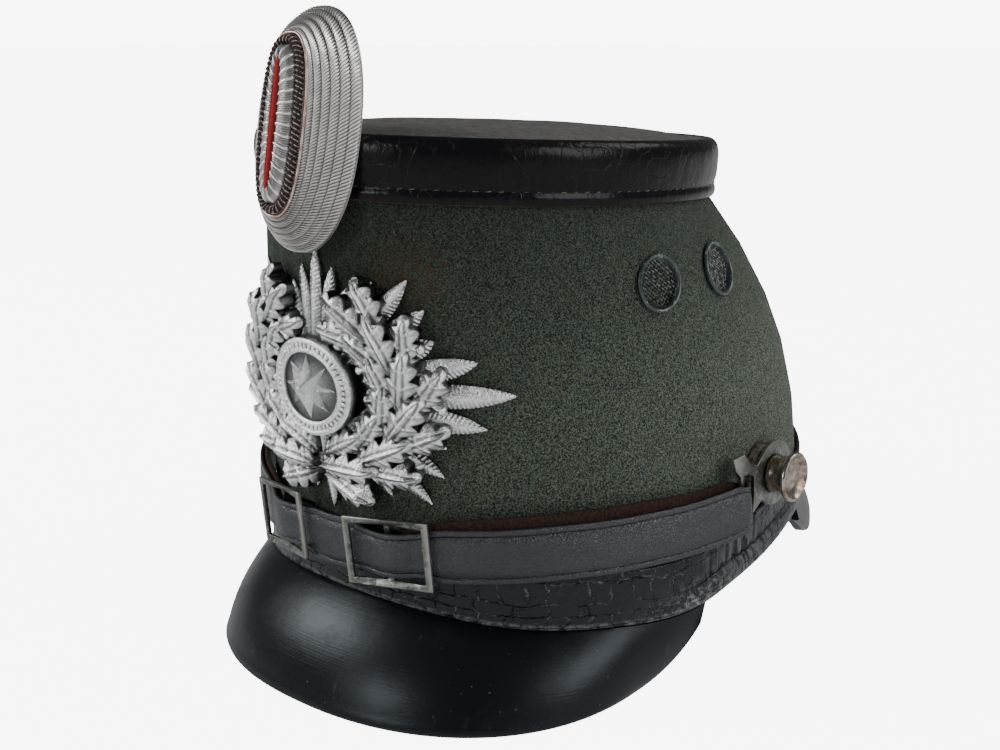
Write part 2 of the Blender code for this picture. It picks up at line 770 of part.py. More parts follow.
def make_badge(metal):
    """Plate of rays, leaf wreath, boss and star, joined into one casting."""
    parts = wreath_leaves() + [boss_loops(), star_loops()]
    group = bpy.data.collections.new("badge_parts")
    for number, loops in enumerate(parts):
        piece = hide_tool(make_object(f"tool_badge_{number}", skin(loops), metal))
        group.objects.link(piece)
    drawing = hide_tool(make_object("tool_badge", skin(burst_loops()), metal))
    modifier = drawing.modifiers.new("join", "BOOLEAN")
    modifier.operand_type = "COLLECTION"
    modifier.collection = group
    modifier.operation = "UNION"
    modifier.solver = "EXACT"
    bpy.context.view_layer.update()
    graph = bpy.context.evaluated_depsgraph_get()
    mesh = bpy.data.meshes.new_from_object(drawing.evaluated_get(graph))
    for tool in list(group.objects) + [drawing]:
        bpy.data.objects.remove(tool, do_unlink=True)
    bpy.data.collections.remove(group)
    badge = wrap_badge(mesh, metal)
    bpy.data.meshes.remove(mesh)
    return badge


# ---------------------------------------------------------------- cockade


def cockade_frame():
    """Frame of the dish: X across, Y up the dish, Z out."""
    frame = Matrix.Rotation(math.pi / 2 - COCKADE_LEAN, 4, "X")
    frame.translation = COCKADE_CENTRE
    return frame


def oval(half_width, half_height, out, power=2.25):
    """One oval ring of the dish, in the hat's coordinates."""
    frame = cockade_frame()
    ring = []
    for angle in round_angles(COCKADE_SEGMENTS):
        x = half_width * signed_power(math.sin(angle), 2 / power)
        y = half_height * signed_power(math.cos(angle), 2 / power)
        ring.append(frame @ Vector((x, y, out)))
    return ring


def dish_ring(share, out, inset=0.0):
    """Ring between the dish's outer edge, share 0, and its inner oval, share 1."""
    half_width = COCKADE_HALF_WIDTH + (INNER_HALF_WIDTH - COCKADE_HALF_WIDTH) * share
    half_height = COCKADE_HALF_HEIGHT + (INNER_HALF_HEIGHT - COCKADE_HALF_HEIGHT) * share
    return oval(half_width - inset, half_height - inset, out)


def dish_rise(share):
    return COCKADE_RISE * math.sin(share * math.pi / 2) ** 0.9


def centre_point(out):
    return [cockade_frame() @ Vector((0.0, 0.0, out))]


def make_cockade_shell(silver):
    """The dish: stepped bands in front, a shallow hollow behind."""
    loops = [centre_point(COCKADE_BACK), dish_ring(0.30, COCKADE_BACK), dish_ring(0.0, 0.0, 0.0010)]
    loops.append(dish_ring(0.0, 0.0004))
    for k in range(COCKADE_BANDS):
        loops.append(dish_ring(k / COCKADE_BANDS + 0.02, 0.0012 + dish_rise(k / COCKADE_BANDS)))
    loops += [dish_ring(0.98, COCKADE_TOP), centre_point(COCKADE_TOP)]
    make_object("cockade_shell", skin(loops), silver, 25.0)


def make_cockade_cord(dark):
    """Twisted cord laid round the inner oval."""
    radius, sides = 0.0010, 5
    frame = cockade_frame()
    normal = frame.to_3x3().col[2]
    loops = []
    for point in oval(INNER_HALF_WIDTH, INNER_HALF_HEIGHT, 0.0, 2.8):
        outward = (point - frame.translation).normalized()
        seat = point + normal * (COCKADE_TOP + GAP + radius)
        turns = [2 * math.pi * k / sides for k in range(sides)]
        loops.append([seat + (outward * math.cos(a) + normal * math.sin(a)) * radius for a in turns])
    make_object("cockade_cord", skin(loops, closed=True), dark)


def make_cockade_pad(silver):
    """Raised oval inside the cord, with a slot down its middle."""
    seat = COCKADE_TOP + GAP
    half_width, half_height = INNER_HALF_WIDTH - 0.0014, INNER_HALF_HEIGHT - 0.0014
    pad = [centre_point(seat)]
    for scale, out in ((1.0, 0.0), (1.0, 0.0016), (0.80, 0.0032)):
        pad.append(oval(half_width * scale, half_height - half_width * (1 - scale), seat + out, 3.0))
    for out in (0.0038, SLOT_FLOOR):
        pad.append(oval(SLOT_HALF_WIDTH, SLOT_HALF_HEIGHT, seat + out, 4.0))
    pad.append(centre_point(seat + SLOT_FLOOR))
    make_object("cockade_pad", skin(pad), silver, 30.0)


def make_cockade_core(red):
    half_width, half_height = SLOT_HALF_WIDTH - GAP, SLOT_HALF_HEIGHT - GAP
    low = COCKADE_TOP + 2 * GAP + SLOT_FLOOR
    core = [oval(half_width, half_height, low, 4.0), oval(half_width, half_height, low + 0.0008, 4.0)]
    core.append(oval(half_width * 0.5, half_height - 0.0006, low + 0.0014, 4.0))
    make_object("cockade_core", skin(core), red)


# ---------------------------------------------------------------- the hat


def main():
    clear_scene()
    felt = make_material("green_felt", (0.045, 0.062, 0.050), 0.95)
    black_leather = make_material("black_leather", (0.012, 0.012, 0.013), 0.35)
    fibre = make_material("lacquered_fibre", (0.008, 0.009, 0.012), 0.18)
    strap_leather = make_material("strap_leather", (0.020, 0.022, 0.030), 0.5)
    cast_silver = make_material("cast_aluminium", (0.62, 0.63, 0.64), 0.38, 1.0)
    steel = make_material("grey_steel", (0.26, 0.27, 0.26), 0.45, 1.0)
    nickel = make_material("worn_nickel", (0.42, 0.38, 0.30), 0.3, 1.0)
    vent_paint = make_material("green_paint", (0.03, 0.045, 0.036), 0.5)
    gauze = make_material("wire_gauze", (0.08, 0.08, 0.08), 0.5, 1.0)
    silver_thread = make_material("silver_thread", (0.70, 0.70, 0.71), 0.4, 1.0)
    dark_cord = make_material("dark_cord", (0.03, 0.012, 0.012), 0.8)
    red_cloth = make_material("red_cloth", (0.55, 0.02, 0.02), 0.8)

    make_body(felt)
    make_crown(black_leather)
    make_base_band(black_leather)
    make_front_peak(fibre)
    make_rear_peak(fibre)
    make_vents(vent_paint, gauze)
    make_chin_strap(strap_leather)
    for side, sign in (("left", 1), ("right", -1)):
        make_buckle(side, sign, steel)
        make_side_fittings(side, sign, nickel, steel, strap_leather)
    make_badge(cast_silver)
    make_cockade_shell(silver_thread)
    make_cockade_cord(dark_cord)
    make_cockade_pad(silver_thread)
    make_cockade_core(red_cloth)


main()
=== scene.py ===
"""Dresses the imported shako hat: detailed pieces, materials and a small studio.

The file is laid out as an add-on: each piece or group of pieces is an operator, and main() runs them in order.
"""

import math
from contextlib import contextmanager

import bpy
from bpy.props import FloatProperty, FloatVectorProperty, IntProperty, PointerProperty
from mathutils import Matrix, Vector, noise


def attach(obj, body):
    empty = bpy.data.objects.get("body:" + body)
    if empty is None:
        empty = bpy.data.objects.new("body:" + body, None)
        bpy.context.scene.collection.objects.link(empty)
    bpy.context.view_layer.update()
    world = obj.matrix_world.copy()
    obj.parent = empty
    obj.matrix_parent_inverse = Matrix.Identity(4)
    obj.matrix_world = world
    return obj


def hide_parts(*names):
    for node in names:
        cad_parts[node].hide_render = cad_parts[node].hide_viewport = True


bl_info = {
    "name": "Shako Hat Dressing",
    "version": (1, 0, 0),
    "blender": (4, 5, 0),
    "location": "View3D > Sidebar > Shako",
    "description": "Builds the leather, cast, woven and metal details of a shako hat round its CAD frame",
    "category": "Object",
}

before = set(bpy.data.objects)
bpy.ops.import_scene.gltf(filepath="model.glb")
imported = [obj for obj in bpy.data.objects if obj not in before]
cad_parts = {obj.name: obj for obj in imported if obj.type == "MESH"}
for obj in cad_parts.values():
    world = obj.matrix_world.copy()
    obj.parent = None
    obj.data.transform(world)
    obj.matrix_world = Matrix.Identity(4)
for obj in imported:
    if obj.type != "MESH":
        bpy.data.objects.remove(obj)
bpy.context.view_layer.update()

TAU = 2 * math.pi

# The hat's surface, in metres: the same sizes as the CAD part's.
GAP = 0.0003
RIM_ROWS = (  # (y, height of the rim)
    (-0.104, 0.0302), (-0.084, 0.0250), (-0.064, 0.0228), (-0.035, 0.0212),
    (-0.012, 0.0258), (0.024, 0.0322), (0.060, 0.0345), (0.104, 0.0355),
)
BODY_HALF_LENGTH = 0.103
BODY_HALF_WIDTH = 0.087
FRONT_LEAN = 0.0068
BACK_CURVE = 2.41
SIDE_CURVE = 2.45
FRONT_SWELL = 0.0030
CROWN_HALF_LENGTH = 0.0794
CROWN_HALF_WIDTH = 0.0675
CROWN_CENTRE_Y = -0.0304
CROWN_HEIGHT = 0.1665
CROWN_SLOPE = math.tan(math.radians(2.95))
CROWN_BAND = 0.0188
BAND_THICKNESS = 0.0014
BEAD_THICKNESS = 0.0011
PEAK_THICKNESS = 0.0030
PEAK_SEAT = 0.0001
FRONT_PEAK = {"corner": 74.5, "half_width": 0.080, "centre": -0.057, "tip": -0.1278, "power": 2.25, "bulge": 0.0036}
FRONT_PEAK_RIGHT = 0.915
FRONT_PEAK_LIFT = 0.80
FRONT_PEAK_RISE = ((0.0, 0.0, 0.0), (0.0005, 0.0140, 0.0), (0.0030, 0.0245, 0.0060), (0.0062, 0.0265, 0.0155))
REAR_PEAK = {"corner": 67.0, "half_width": 0.078, "centre": 0.040, "tip": 0.1278, "power": 1.9, "bulge": 0.0040}
VENTS = (("front", 76.2, 0.1255), ("back", 96.8, 0.1259))  # (place, degrees from the front, height)
VENT_RADIUS = 0.0088
VENT_BORE = 0.0076
VENT_BARREL = 0.0080
STRAP_WIDTH = 0.0170
STRAP_NECK = 0.0138
STRAP_THICKNESS = 0.0013
STRAP_Z_ROWS = (  # (degrees from the front, height of the strap's middle)
    (0.0, 0.0470), (15.0, 0.0476), (30.0, 0.0488), (45.0, 0.0497),
    (58.0, 0.0500), (70.0, 0.0503), (82.2, 0.0519), (90.0, 0.0530),
)
BUCKLE_ANGLE = 14.5
STRAP_END = 17.0
FOLD_ANGLE = 82.2
FOLD_RADIUS = 0.0022
INNER_LAYER = 0.0030
INNER_LIFT_ROWS = ((STRAP_END, 0.0), (30.0, 0.0026), (60.0, 0.0034), (76.0, 0.0016), (FOLD_ANGLE, 0.0))
OUTER_ROWS = (  # (degrees from the front, distance of the outer layer from the felt)
    (0.0, 0.0046), (3.0, 0.0046), (6.5, 0.0046), (9.5, 0.0052), (12.5, 0.0067), (14.5, 0.0071), (16.5, 0.0067),
    (19.5, 0.0052), (23.0, 0.0047), (30.0, 0.0047), (66.0, 0.0047), (74.0, 0.0056),
    (FOLD_ANGLE, INNER_LAYER + 2 * FOLD_RADIUS),
)
FITTING_ANGLE = 88.0
FITTING_Z = 0.0585
KNOB_SETBACK = 0.0081
BADGE_TURN = 0.084
BADGE_SEAT = 0.0007
BADGE_Z = 0.0970
BURST_HALF_WIDTH = 0.0600
BURST_HALF_HEIGHT = 0.0405
WREATH_HALF_WIDTH = 0.0285
WREATH_HALF_HEIGHT = 0.0245
WREATH_TURN = math.radians(152)
COCKADE_CENTRE = Vector((0.0, -0.1091, 0.1704))
COCKADE_LEAN = math.radians(10.8)
COCKADE_HALF = (0.0198, 0.0346)
COCKADE_INNER = (0.0070, 0.0232)
COCKADE_RISE = 0.0104
COCKADE_TOP = COCKADE_RISE + 0.0008


# ---------------------------------------------------------------- settings


class ShakoLook(bpy.types.PropertyGroup):
    felt_color: FloatVectorProperty(
        name="Felt", description="Ground colour of the felt", subtype="COLOR", size=3, default=(0.0085, 0.0125, 0.0105)
    )
    fleck_color: FloatVectorProperty(
        name="Flecks", description="Colour of the paler fibres", subtype="COLOR", size=3, default=(0.205, 0.250, 0.200)
    )
    leather_color: FloatVectorProperty(
        name="Leather", description="Crown and base band", subtype="COLOR", size=3, default=(0.006, 0.006, 0.007)
    )
    strap_color: FloatVectorProperty(
        name="Strap", description="Grain side of the strap", subtype="COLOR", size=3, default=(0.014, 0.0145, 0.0165)
    )
    suede_color: FloatVectorProperty(
        name="Suede", description="Flesh side of the strap", subtype="COLOR", size=3, default=(0.034, 0.020, 0.016)
    )
    silver_color: FloatVectorProperty(
        name="Casting", description="Bright metal of the badge", subtype="COLOR", size=3, default=(0.97, 0.975, 0.98)
    )
    core_color: FloatVectorProperty(
        name="Cockade core", description="Cloth in the slot", subtype="COLOR", size=3, default=(0.42, 0.010, 0.012)
    )


class ShakoSizes(bpy.types.PropertyGroup):
    stitch_pitch: FloatProperty(
        name="Stitch pitch", description="Distance between crown stitches", unit="LENGTH", default=0.0035, min=0.001
    )
    rib_pitch: FloatProperty(
        name="Rib pitch", description="Distance between the cockade's ribs", unit="LENGTH", default=0.0009, min=0.0004
    )
    wire_pitch: FloatProperty(
        name="Wire pitch", description="Distance between wires of the gauze", unit="LENGTH", default=0.00105, min=0.0005
    )
    berry_steps: IntProperty(name="Berry steps", description="Facets round a berry", default=10, min=6)


def look():
    return bpy.context.scene.shako_look


def sizes():
    return bpy.context.scene.shako_sizes


# ---------------------------------------------------------------- the hat's surface


def smooth_step(value):
    value = min(max(value, 0.0), 1.0)
    return value * value * (3.0 - 2.0 * value)


def bell(distance, width):
    """1 at no distance, falling off to both sides."""
    return math.exp(-((distance / width) ** 2))


def smooth_rows(rows, x):
    """Reads a smooth curve through rows of (x, value)."""
    last = len(rows) - 1
    if x <= rows[0][0]:
        return rows[0][1]
    if x >= rows[last][0]:
        return rows[last][1]
    i = next(k for k in range(last) if x <= rows[k + 1][0])

    def slope(k):
        low, high = max(k - 1, 0), min(k + 1, last)
        return (rows[high][1] - rows[low][1]) / (rows[high][0] - rows[low][0])

    span = rows[i + 1][0] - rows[i][0]
    u = (x - rows[i][0]) / span
    start = (1 + 2 * u) * (1 - u) ** 2 * rows[i][1] + u * (1 - u) ** 2 * span * slope(i)
    end = u * u * (3 - 2 * u) * rows[i + 1][1] + u * u * (u - 1) * span * slope(i + 1)
    return start + end


def signed_power(value, power):
    return math.copysign(abs(value) ** power, value)


def crown_plane(y):
    return CROWN_HEIGHT - (y - CROWN_CENTRE_Y) * CROWN_SLOPE


def wall_point(angle, level):
    """A point on the felt: angle 0 is the middle of the front, level 0 the rim and 1 the crown."""
    up = min(level, 1.0)
    crown_back = CROWN_CENTRE_Y + CROWN_HALF_LENGTH
    back = BODY_HALF_LENGTH + (crown_back - BODY_HALF_LENGTH) * up**BACK_CURVE
    front = -BODY_HALF_LENGTH - FRONT_LEAN * up
    half_width = BODY_HALF_WIDTH + (CROWN_HALF_WIDTH - BODY_HALF_WIDTH) * up**SIDE_CURVE
    y = (back + front) / 2 - (back - front) / 2 * math.cos(angle)
    z = smooth_rows(RIM_ROWS, y) * (1 - level) + (crown_plane(y) - CROWN_BAND) * level
    swell = FRONT_SWELL * (1 - up) ** 3 * math.sin(2 * angle) ** 2 if math.cos(angle) > 0 else 0.0
    return Vector(((half_width + swell) * math.sin(angle), y - swell * math.cos(angle), z))


def wall_normal(angle, level):
    step = 0.01
    across = wall_point(angle + step, level) - wall_point(angle - step, level)
    low = min(max(level - step, 0.0), 1.0 - 2 * step)
    upward = wall_point(angle, low + 2 * step) - wall_point(angle, low)
    return across.cross(upward).normalized()


def level_at(angle, z):
    low, high = 0.0, 1.2
    for _ in range(22):
        middle = (low + high) / 2
        if wall_point(angle, middle).z < z:
            low = middle
        else:
            high = middle
    return (low + high) / 2


def off_wall(angle, z, out):
    level = level_at(angle, z)
    return wall_point(angle, level) + wall_normal(angle, level) * out


def axes(across, upward, out, place):
    matrix = Matrix((across, upward, out)).transposed().to_4x4()
    matrix.translation = place
    return matrix


def wall_frame(angle, z):
    """Frame on the felt: Z points out, Y up the wall, X across."""
    level = level_at(angle, z)
    out = wall_normal(angle, level)
    across = out.cross(Vector((0.0, 0.0, -1.0))).normalized()
    return axes(across, out.cross(across).normalized(), out, wall_point(angle, level))


# ---------------------------------------------------------------- modelling tools


def deselect():
    if bpy.context.object and bpy.context.object.mode != "OBJECT":
        bpy.ops.object.mode_set(mode="OBJECT")
    bpy.ops.object.select_all(action="DESELECT")


def pick(*objects):
    """Selects just these objects, the last one active."""
    deselect()
    for obj in objects:
        obj.select_set(True)
    bpy.context.view_layer.objects.active = objects[-1]


def select_mesh(action="SELECT"):
    bpy.ops.mesh.select_all(action=action)


@contextmanager
def editing(obj):
    """Edit mode, with all of one piece selected."""
    pick(obj)
    bpy.ops.object.mode_set(mode="EDIT")
    select_mesh()
    yield
    bpy.ops.object.mode_set(mode="OBJECT")


def named(name):
    obj = bpy.context.object
    obj.name = name
    obj.data.name = name
    return obj


def close_up(obj, fill_ends=False):
    """Closes a laid-out piece's seams, poles and, if asked, its open ends, and turns its faces out."""
    with editing(obj):
        bpy.ops.mesh.remove_doubles(threshold=1e-6)
        if fill_ends:
            select_mesh("DESELECT")
            bpy.ops.mesh.select_non_manifold()
            bpy.ops.mesh.fill()
            select_mesh()
        bpy.ops.mesh.normals_make_consistent(inside=False)
    return obj


def store(obj, name, values):
    """Keeps one number for each point of a piece, for its material."""
    obj.data.attributes.new(name, "FLOAT", "POINT").data.foreach_set("value", values)


def laid_grid(name, columns, rows, place, attribute="", value=None):
    """A flat grid laid on a surface: place(column, row) gives a point, and value(column, row) its attribute."""
    deselect()
    bpy.ops.mesh.primitive_grid_add(x_subdivisions=columns, y_subdivisions=rows, size=1, calc_uvs=True)
    obj = named(name)
    spots = [(round((vert.co.x + 0.5) * columns), round((vert.co.y + 0.5) * rows)) for vert in obj.data.vertices]
    if attribute:
        store(obj, attribute, [value(column, row) for column, row in spots])
    for vert, (column, row) in zip(obj.data.vertices, spots):
        vert.co = place(column, row)
    return obj


def shade(obj, angle=None):
    pick(obj)
    if angle is None:
        bpy.ops.object.shade_smooth()
    else:
        bpy.ops.object.shade_smooth_by_angle(angle=math.radians(angle))
    return obj


def apply_modifier(obj, kind, **settings):
    pick(obj)
    modifier = obj.modifiers.new(kind.lower(), kind)
    for key, value in settings.items():
        setattr(modifier, key, value)
    bpy.ops.object.modifier_apply(modifier=modifier.name)
    return obj


def turned(name, profile, matrix, steps):
    """A ring of points is laid out as the profile of (radius, height) and spun round the frame's Z axis."""
    deselect()
    bpy.ops.mesh.primitive_circle_add(vertices=len(profile), radius=1.0)
    obj = named(name)
    for vert, (radius, along) in zip(obj.data.vertices, profile):
        vert.co = (radius, 0.0, along)
    with editing(obj):
        bpy.ops.mesh.spin(steps=steps, angle=TAU, center=(0, 0, 0), axis=(0, 0, 1), dupli=False)
    close_up(obj).data.transform(matrix)
    return obj


def copies(name, pattern, matrices, keep=False):
    """Copies of one modelled shape, each laid in its place, joined as one piece."""
    parts = []
    for matrix in matrices:
        part = pattern.copy()
        part.data = pattern.data.copy()
        part.data.transform(matrix)
        bpy.context.scene.collection.objects.link(part)
        parts.append(part)
    if not keep:
        bpy.data.objects.remove(pattern, do_unlink=True)
    pick(*parts)
    if len(parts) > 1:
        bpy.ops.object.join()
    return named(name)


def eased_copy(node, name, bevel):
    """A copy of a CAD node with its edges eased."""
    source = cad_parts[node]
    obj = source.copy()
    obj.data = source.data.copy()
    obj.parent = None
    for key in [key for key in obj.keys() if key.startswith("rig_")]:
        del obj[key]
    bpy.context.scene.collection.objects.link(obj)
    obj.name = name
    with editing(obj):
        bpy.ops.mesh.remove_doubles(threshold=1e-6)
        bpy.ops.mesh.dissolve_limited(angle_limit=math.radians(2.0))
    limit = math.radians(25.0)
    apply_modifier(obj, "BEVEL", width=bevel, segments=2, limit_method="ANGLE", angle_limit=limit)
    return shade(obj, 30)


def finish_piece(obj, material, slot, *nodes):
    """Gives a piece its material, its body and the CAD nodes that it stands for."""
    if material is not None:
        obj.data.materials.clear()
        obj.data.materials.append(material)
    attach(obj, "root")
    if nodes:
        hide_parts(*nodes)
    return obj


# ---------------------------------------------------------------- node tools


class Nodes:
    """Builds the nodes of one material or group; its patterns follow the position."""

    def __init__(self, tree, given=None):
        self.tree = tree
        self.given = given

    @property
    def position(self):
        """The vector that a group is given, or else the object's own coordinates."""
        if self.given is None:
            self.given = self.add("TexCoord").outputs["Object"]
        return self.given

    def fill(self, sockets, values):
        """Sets sockets, by name or number, to values or links them to other sockets."""
        for key, value in values.items():
            if isinstance(value, bpy.types.NodeSocket):
                self.tree.links.new(value, sockets[key])
            else:
                sockets[key].default_value = value

    def add(self, kind, inputs=None, **settings):
        node = self.tree.nodes.new("ShaderNode" + kind)
        for key, value in settings.items():
            setattr(node, key, value)
        self.fill(node.inputs, inputs or {})
        return node

    def noise(self, scale, detail=4.0, roughness=0.55, distortion=0.0, at=None, out="Fac"):
        inputs = {"Scale": scale, "Detail": detail, "Roughness": roughness, "Distortion": distortion}
        inputs["Vector"] = self.position if at is None else at
        return self.add("TexNoise", inputs).outputs[out]

    def stretched(self, scale, vector=None):
        vector = self.position if vector is None else vector
        return self.add("Mapping", {"Vector": vector, "Scale": scale}).outputs["Vector"]

    def vectors(self, operation, first, second, out=0):
        return self.add("VectorMath", {0: first, 1: second}, operation=operation).outputs[out]

    def warped(self, vector, scale, detail, roughness, reach):
        """A vector that a noise shifts by up to reach along each axis."""
        shift = self.vectors("MULTIPLY", self.noise(scale, detail, roughness, out="Color"), reach)
        return self.vectors("ADD", vector, shift)

    def cell_edges(self, vector, scale):
        """Distance to the edges of irregular cells."""
        inputs = {"Vector": vector, "Scale": scale}
        return self.add("TexVoronoi", inputs, feature="DISTANCE_TO_EDGE").outputs["Distance"]

    def span(self, value, low, high, to_low=0.0, to_high=1.0):
        """Maps low..high to 0..1, or to the range given."""
        inputs = {"Value": value, "From Min": low, "From Max": high, "To Min": to_low, "To Max": to_high}
        return self.add("MapRange", inputs, clamp=True).outputs["Result"]

    def maths(self, operation, *values):
        """Chains an operation over values and sockets."""
        result = values[0]
        for value in values[1:]:
            result = self.add("Math", {0: result, 1: value}, operation=operation).outputs[0]
        return result

    def times(self, *values):
        return self.maths("MULTIPLY", *values)

    def most(self, *values):
        return self.maths("MAXIMUM", *values)

    def mix(self, share, first, second):
        """Mixes two colours, by a share of the second."""
        colors = [value if isinstance(value, bpy.types.NodeSocket) else (*value[:3], 1.0) for value in (first, second)]
        return self.add("Mix", {0: share, 6: colors[0], 7: colors[1]}, data_type="RGBA").outputs[2]

    def bump(self, height, strength, distance, normal=None):
        inputs = {"Height": height, "Strength": strength, "Distance": distance}
        if normal is not None:
            inputs["Normal"] = normal
        return self.add("Bump", inputs).outputs["Normal"]

    def attribute(self, name):
        return self.add("Attribute", attribute_name=name).outputs["Fac"]

    def pointiness(self):
        return self.add("NewGeometry").outputs["Pointiness"]

    def flat(self):
        return self.add("UVMap", uv_map="UVMap").outputs["UV"]

    def use(self, name, **inputs):
        """Places a shared group, on the position."""
        node = self.add("Group", node_tree=bpy.data.node_groups[name])
        self.fill(node.inputs, {"Vector": self.position, **inputs})
        return node.outputs


class Finish(Nodes):
    """A Principled material; constants are set on the shader's own sockets."""

    def __init__(self, name, **constants):
        self.material = bpy.data.materials.new(name)
        self.material.use_nodes = True
        super().__init__(self.material.node_tree)
        self.done(**constants)

    def done(self, **sockets):
        shader = self.tree.nodes["Principled BSDF"]
        self.fill(shader.inputs, {key.replace("_", " "): value for key, value in sockets.items()})
        return self.material


class Group(Nodes):
    """A shared shader group: a Vector and the named inputs go in, the named numbers come out."""

    def __init__(self, name, outputs, **inputs):
        tree = bpy.data.node_groups.new(name, "ShaderNodeTree")
        tree.interface.new_socket("Vector", in_out="INPUT", socket_type="NodeSocketVector")
        for label, default in inputs.items():
            kind = "NodeSocketFloat" if isinstance(default, float) else "NodeSocketVector"
            tree.interface.new_socket(label, in_out="INPUT", socket_type=kind).default_value = default
        for label in outputs:
            tree.interface.new_socket(label, in_out="OUTPUT", socket_type="NodeSocketFloat")
        self.inputs = tree.nodes.new("NodeGroupInput").outputs
        super().__init__(tree, self.inputs["Vector"])

    def done(self, **outputs):
        self.fill(self.tree.nodes.new("NodeGroupOutput").inputs, outputs)


def make_grain_group():
    """Fine leather grain: small cells broken up by noise."""
    group = Group("leather_grain", ("Height",), Scale=1500.0)
    moved = group.warped(group.position, 900.0, 2.0, 0.5, (0.0006, 0.0006, 0.0006))
    group.done(Height=group.span(group.cell_edges(moved, group.inputs["Scale"]), 0.0, 0.25))


def make_crack_group():
    """Age cracks: thin dark lines between large warped cells, present only in places."""
    group = Group("age_cracks", ("Mask",), Scale=90.0, Width=0.03, Amount=0.5)
    moved = group.warped(group.position, 60.0, 3.0, 0.5, (0.006, 0.006, 0.006))
    edges = group.cell_edges(moved, group.inputs["Scale"])
    line = group.span(edges, 0.0, group.inputs["Width"], 1.0, 0.0)
    kept = group.maths("GREATER_THAN", group.inputs["Amount"], group.noise(35.0, 3.0))
    group.done(Mask=group.times(line, kept))


def make_scuff_group():
    """Rubbed patches and hairline scratches, as masks."""
    group = Group("scuffs", ("Patches", "Lines"), Stretch=(1.0, 1.0, 1.0), Amount=0.5)
    amount = group.inputs["Amount"]
    patches = group.span(group.noise(38.0, 8.0, 0.68, 0.4), 0.52, 0.74, 0.0, amount)
    stretched = group.vectors("MULTIPLY", group.position, group.inputs["Stretch"])
    line = group.span(group.noise(420.0, 2.0, 0.5, at=stretched), 0.68, 0.76)
    where = group.span(group.noise(55.0, 2.0), 0.5, 0.62)
    group.done(Patches=patches, Lines=group.times(line, where, amount))


def make_fibre_group():
    """Short tangled fibres: a fleck mask and a height."""
    group = Group("wool_fibres", ("Flecks", "Height"))
    fine, medium = group.noise(3000.0, 2.0, 0.6, 0.8), group.noise(1500.0, 3.0, 0.7, 1.0)
    both = group.maths("ADD", group.times(fine, 0.70), group.times(medium, 0.30))
    group.done(Flecks=group.span(both, 0.475, 0.548), Height=both)


# ---------------------------------------------------------------- felt


RUST_SPOT = (0.030, -0.104, 0.130)


def felt_material():
    felt, color = Finish("shako_felt", Roughness=0.95, Specular_IOR_Level=0.1), look().felt_color
    felt.done(Sheen_Weight=0.08, Sheen_Roughness=0.45)
    fibres = felt.use("wool_fibres")
    paler = felt.mix(felt.span(felt.noise(30.0, 4.0, 0.65), 0.35, 0.7), color, [part * 1.6 for part in color])
    place = felt.add("SeparateXYZ", {0: felt.position}).outputs
    # Painted light and shade: the flecks grow towards the back as painted light and thin out towards the crown as
    # painted shade under its overhang.
    painted_light_backward = felt.span(place["Y"], -0.10, 0.04, 0.55, 1.15)
    upward = felt.span(place["Z"], 0.090, 0.148, 1.0, 0.42)
    warm = felt.span(felt.noise(650.0, 3.0, 0.7), 0.50, 0.66, 0.0, 0.8)
    fleck = felt.mix(warm, look().fleck_color, (0.250, 0.225, 0.140))
    color = felt.mix(felt.times(fibres["Flecks"], painted_light_backward, upward), paler, fleck)
    lint = felt.span(felt.noise(700.0, 2.0, at=felt.stretched((1.0, 1.0, 0.4))), 0.735, 0.76)
    color = felt.mix(felt.times(lint, 0.7), color, (0.22, 0.20, 0.15))
    rust = felt.span(felt.vectors("DISTANCE", felt.position, RUST_SPOT, "Value"), 0.004, 0.016, 1.0, 0.0)
    rust = felt.times(rust, felt.span(felt.noise(500.0, 3.0), 0.40, 0.62))
    color = felt.mix(felt.times(rust, 0.55), color, (0.075, 0.036, 0.016))
    return felt.done(Base_Color=color, Normal=felt.bump(fibres["Height"], 0.85, 0.0006))


class SHAKO_OT_felt(bpy.types.Operator):
    """Dresses the body in flecked wool felt"""

    bl_idname = "shako.felt"
    bl_label = "Felt Body"

    def execute(self, context):
        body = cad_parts["body"].data
        body.materials.clear()
        body.materials.append(felt_material())
        return {"FINISHED"}


# ---------------------------------------------------------------- crown


def crown_point(angle, scale, grow, height):
    half_width = CROWN_HALF_WIDTH * scale + grow
    half_length = CROWN_HALF_LENGTH * scale + grow
    y = CROWN_CENTRE_Y - half_length * math.cos(angle)
    return Vector((half_width * math.sin(angle), y, crown_plane(y) + height))


CROWN_PROFILE = (  # (scale, growth, height): from under the top, down inside, round the edge and over the top
    (0.0, 0.0, 0.0010), (0.45, 0.0, 0.0008), (0.78, 0.0, -0.0008), (1.0, 0.0003, -0.0027),
    (1.0, 0.0003, -0.0100), (1.0, 0.0003, -0.0180), (1.0, 0.0006, -0.0187), (1.0, 0.0014, -0.0187),
    (1.0, 0.0020, -0.0184), (1.0, 0.0025, -0.0172), (1.0, 0.0024, -0.0156), (1.0, 0.0016, -0.0145),
    (1.0, 0.0024, -0.0134), (1.0, 0.0028, -0.0100), (1.0, 0.0030, -0.0070), (1.0, 0.0029, -0.0045),
    (1.0, 0.0025, -0.0025), (1.0, 0.0019, -0.0012), (1.0, 0.0010, -0.0003), (1.0, 0.0000, 0.0000),
    (1.0, -0.0012, -0.0002), (1.0, -0.0024, -0.0007), (0.94, 0.0, -0.0010), (0.89, 0.0, -0.0002),
    (0.84, 0.0, 0.0006), (0.78, 0.0, 0.0012), (0.62, 0.0, 0.0023), (0.45, 0.0, 0.0030),
    (0.22, 0.0, 0.0033), (0.0, 0.0, 0.0033),
)
CROWN_EDGE_ROWS = range(8, 21)
STITCH_HEIGHT = -0.0145
STITCH_GROWTH = 0.00185
STITCH_LENGTH = 0.0021
THREAD_RADIUS = 0.00024


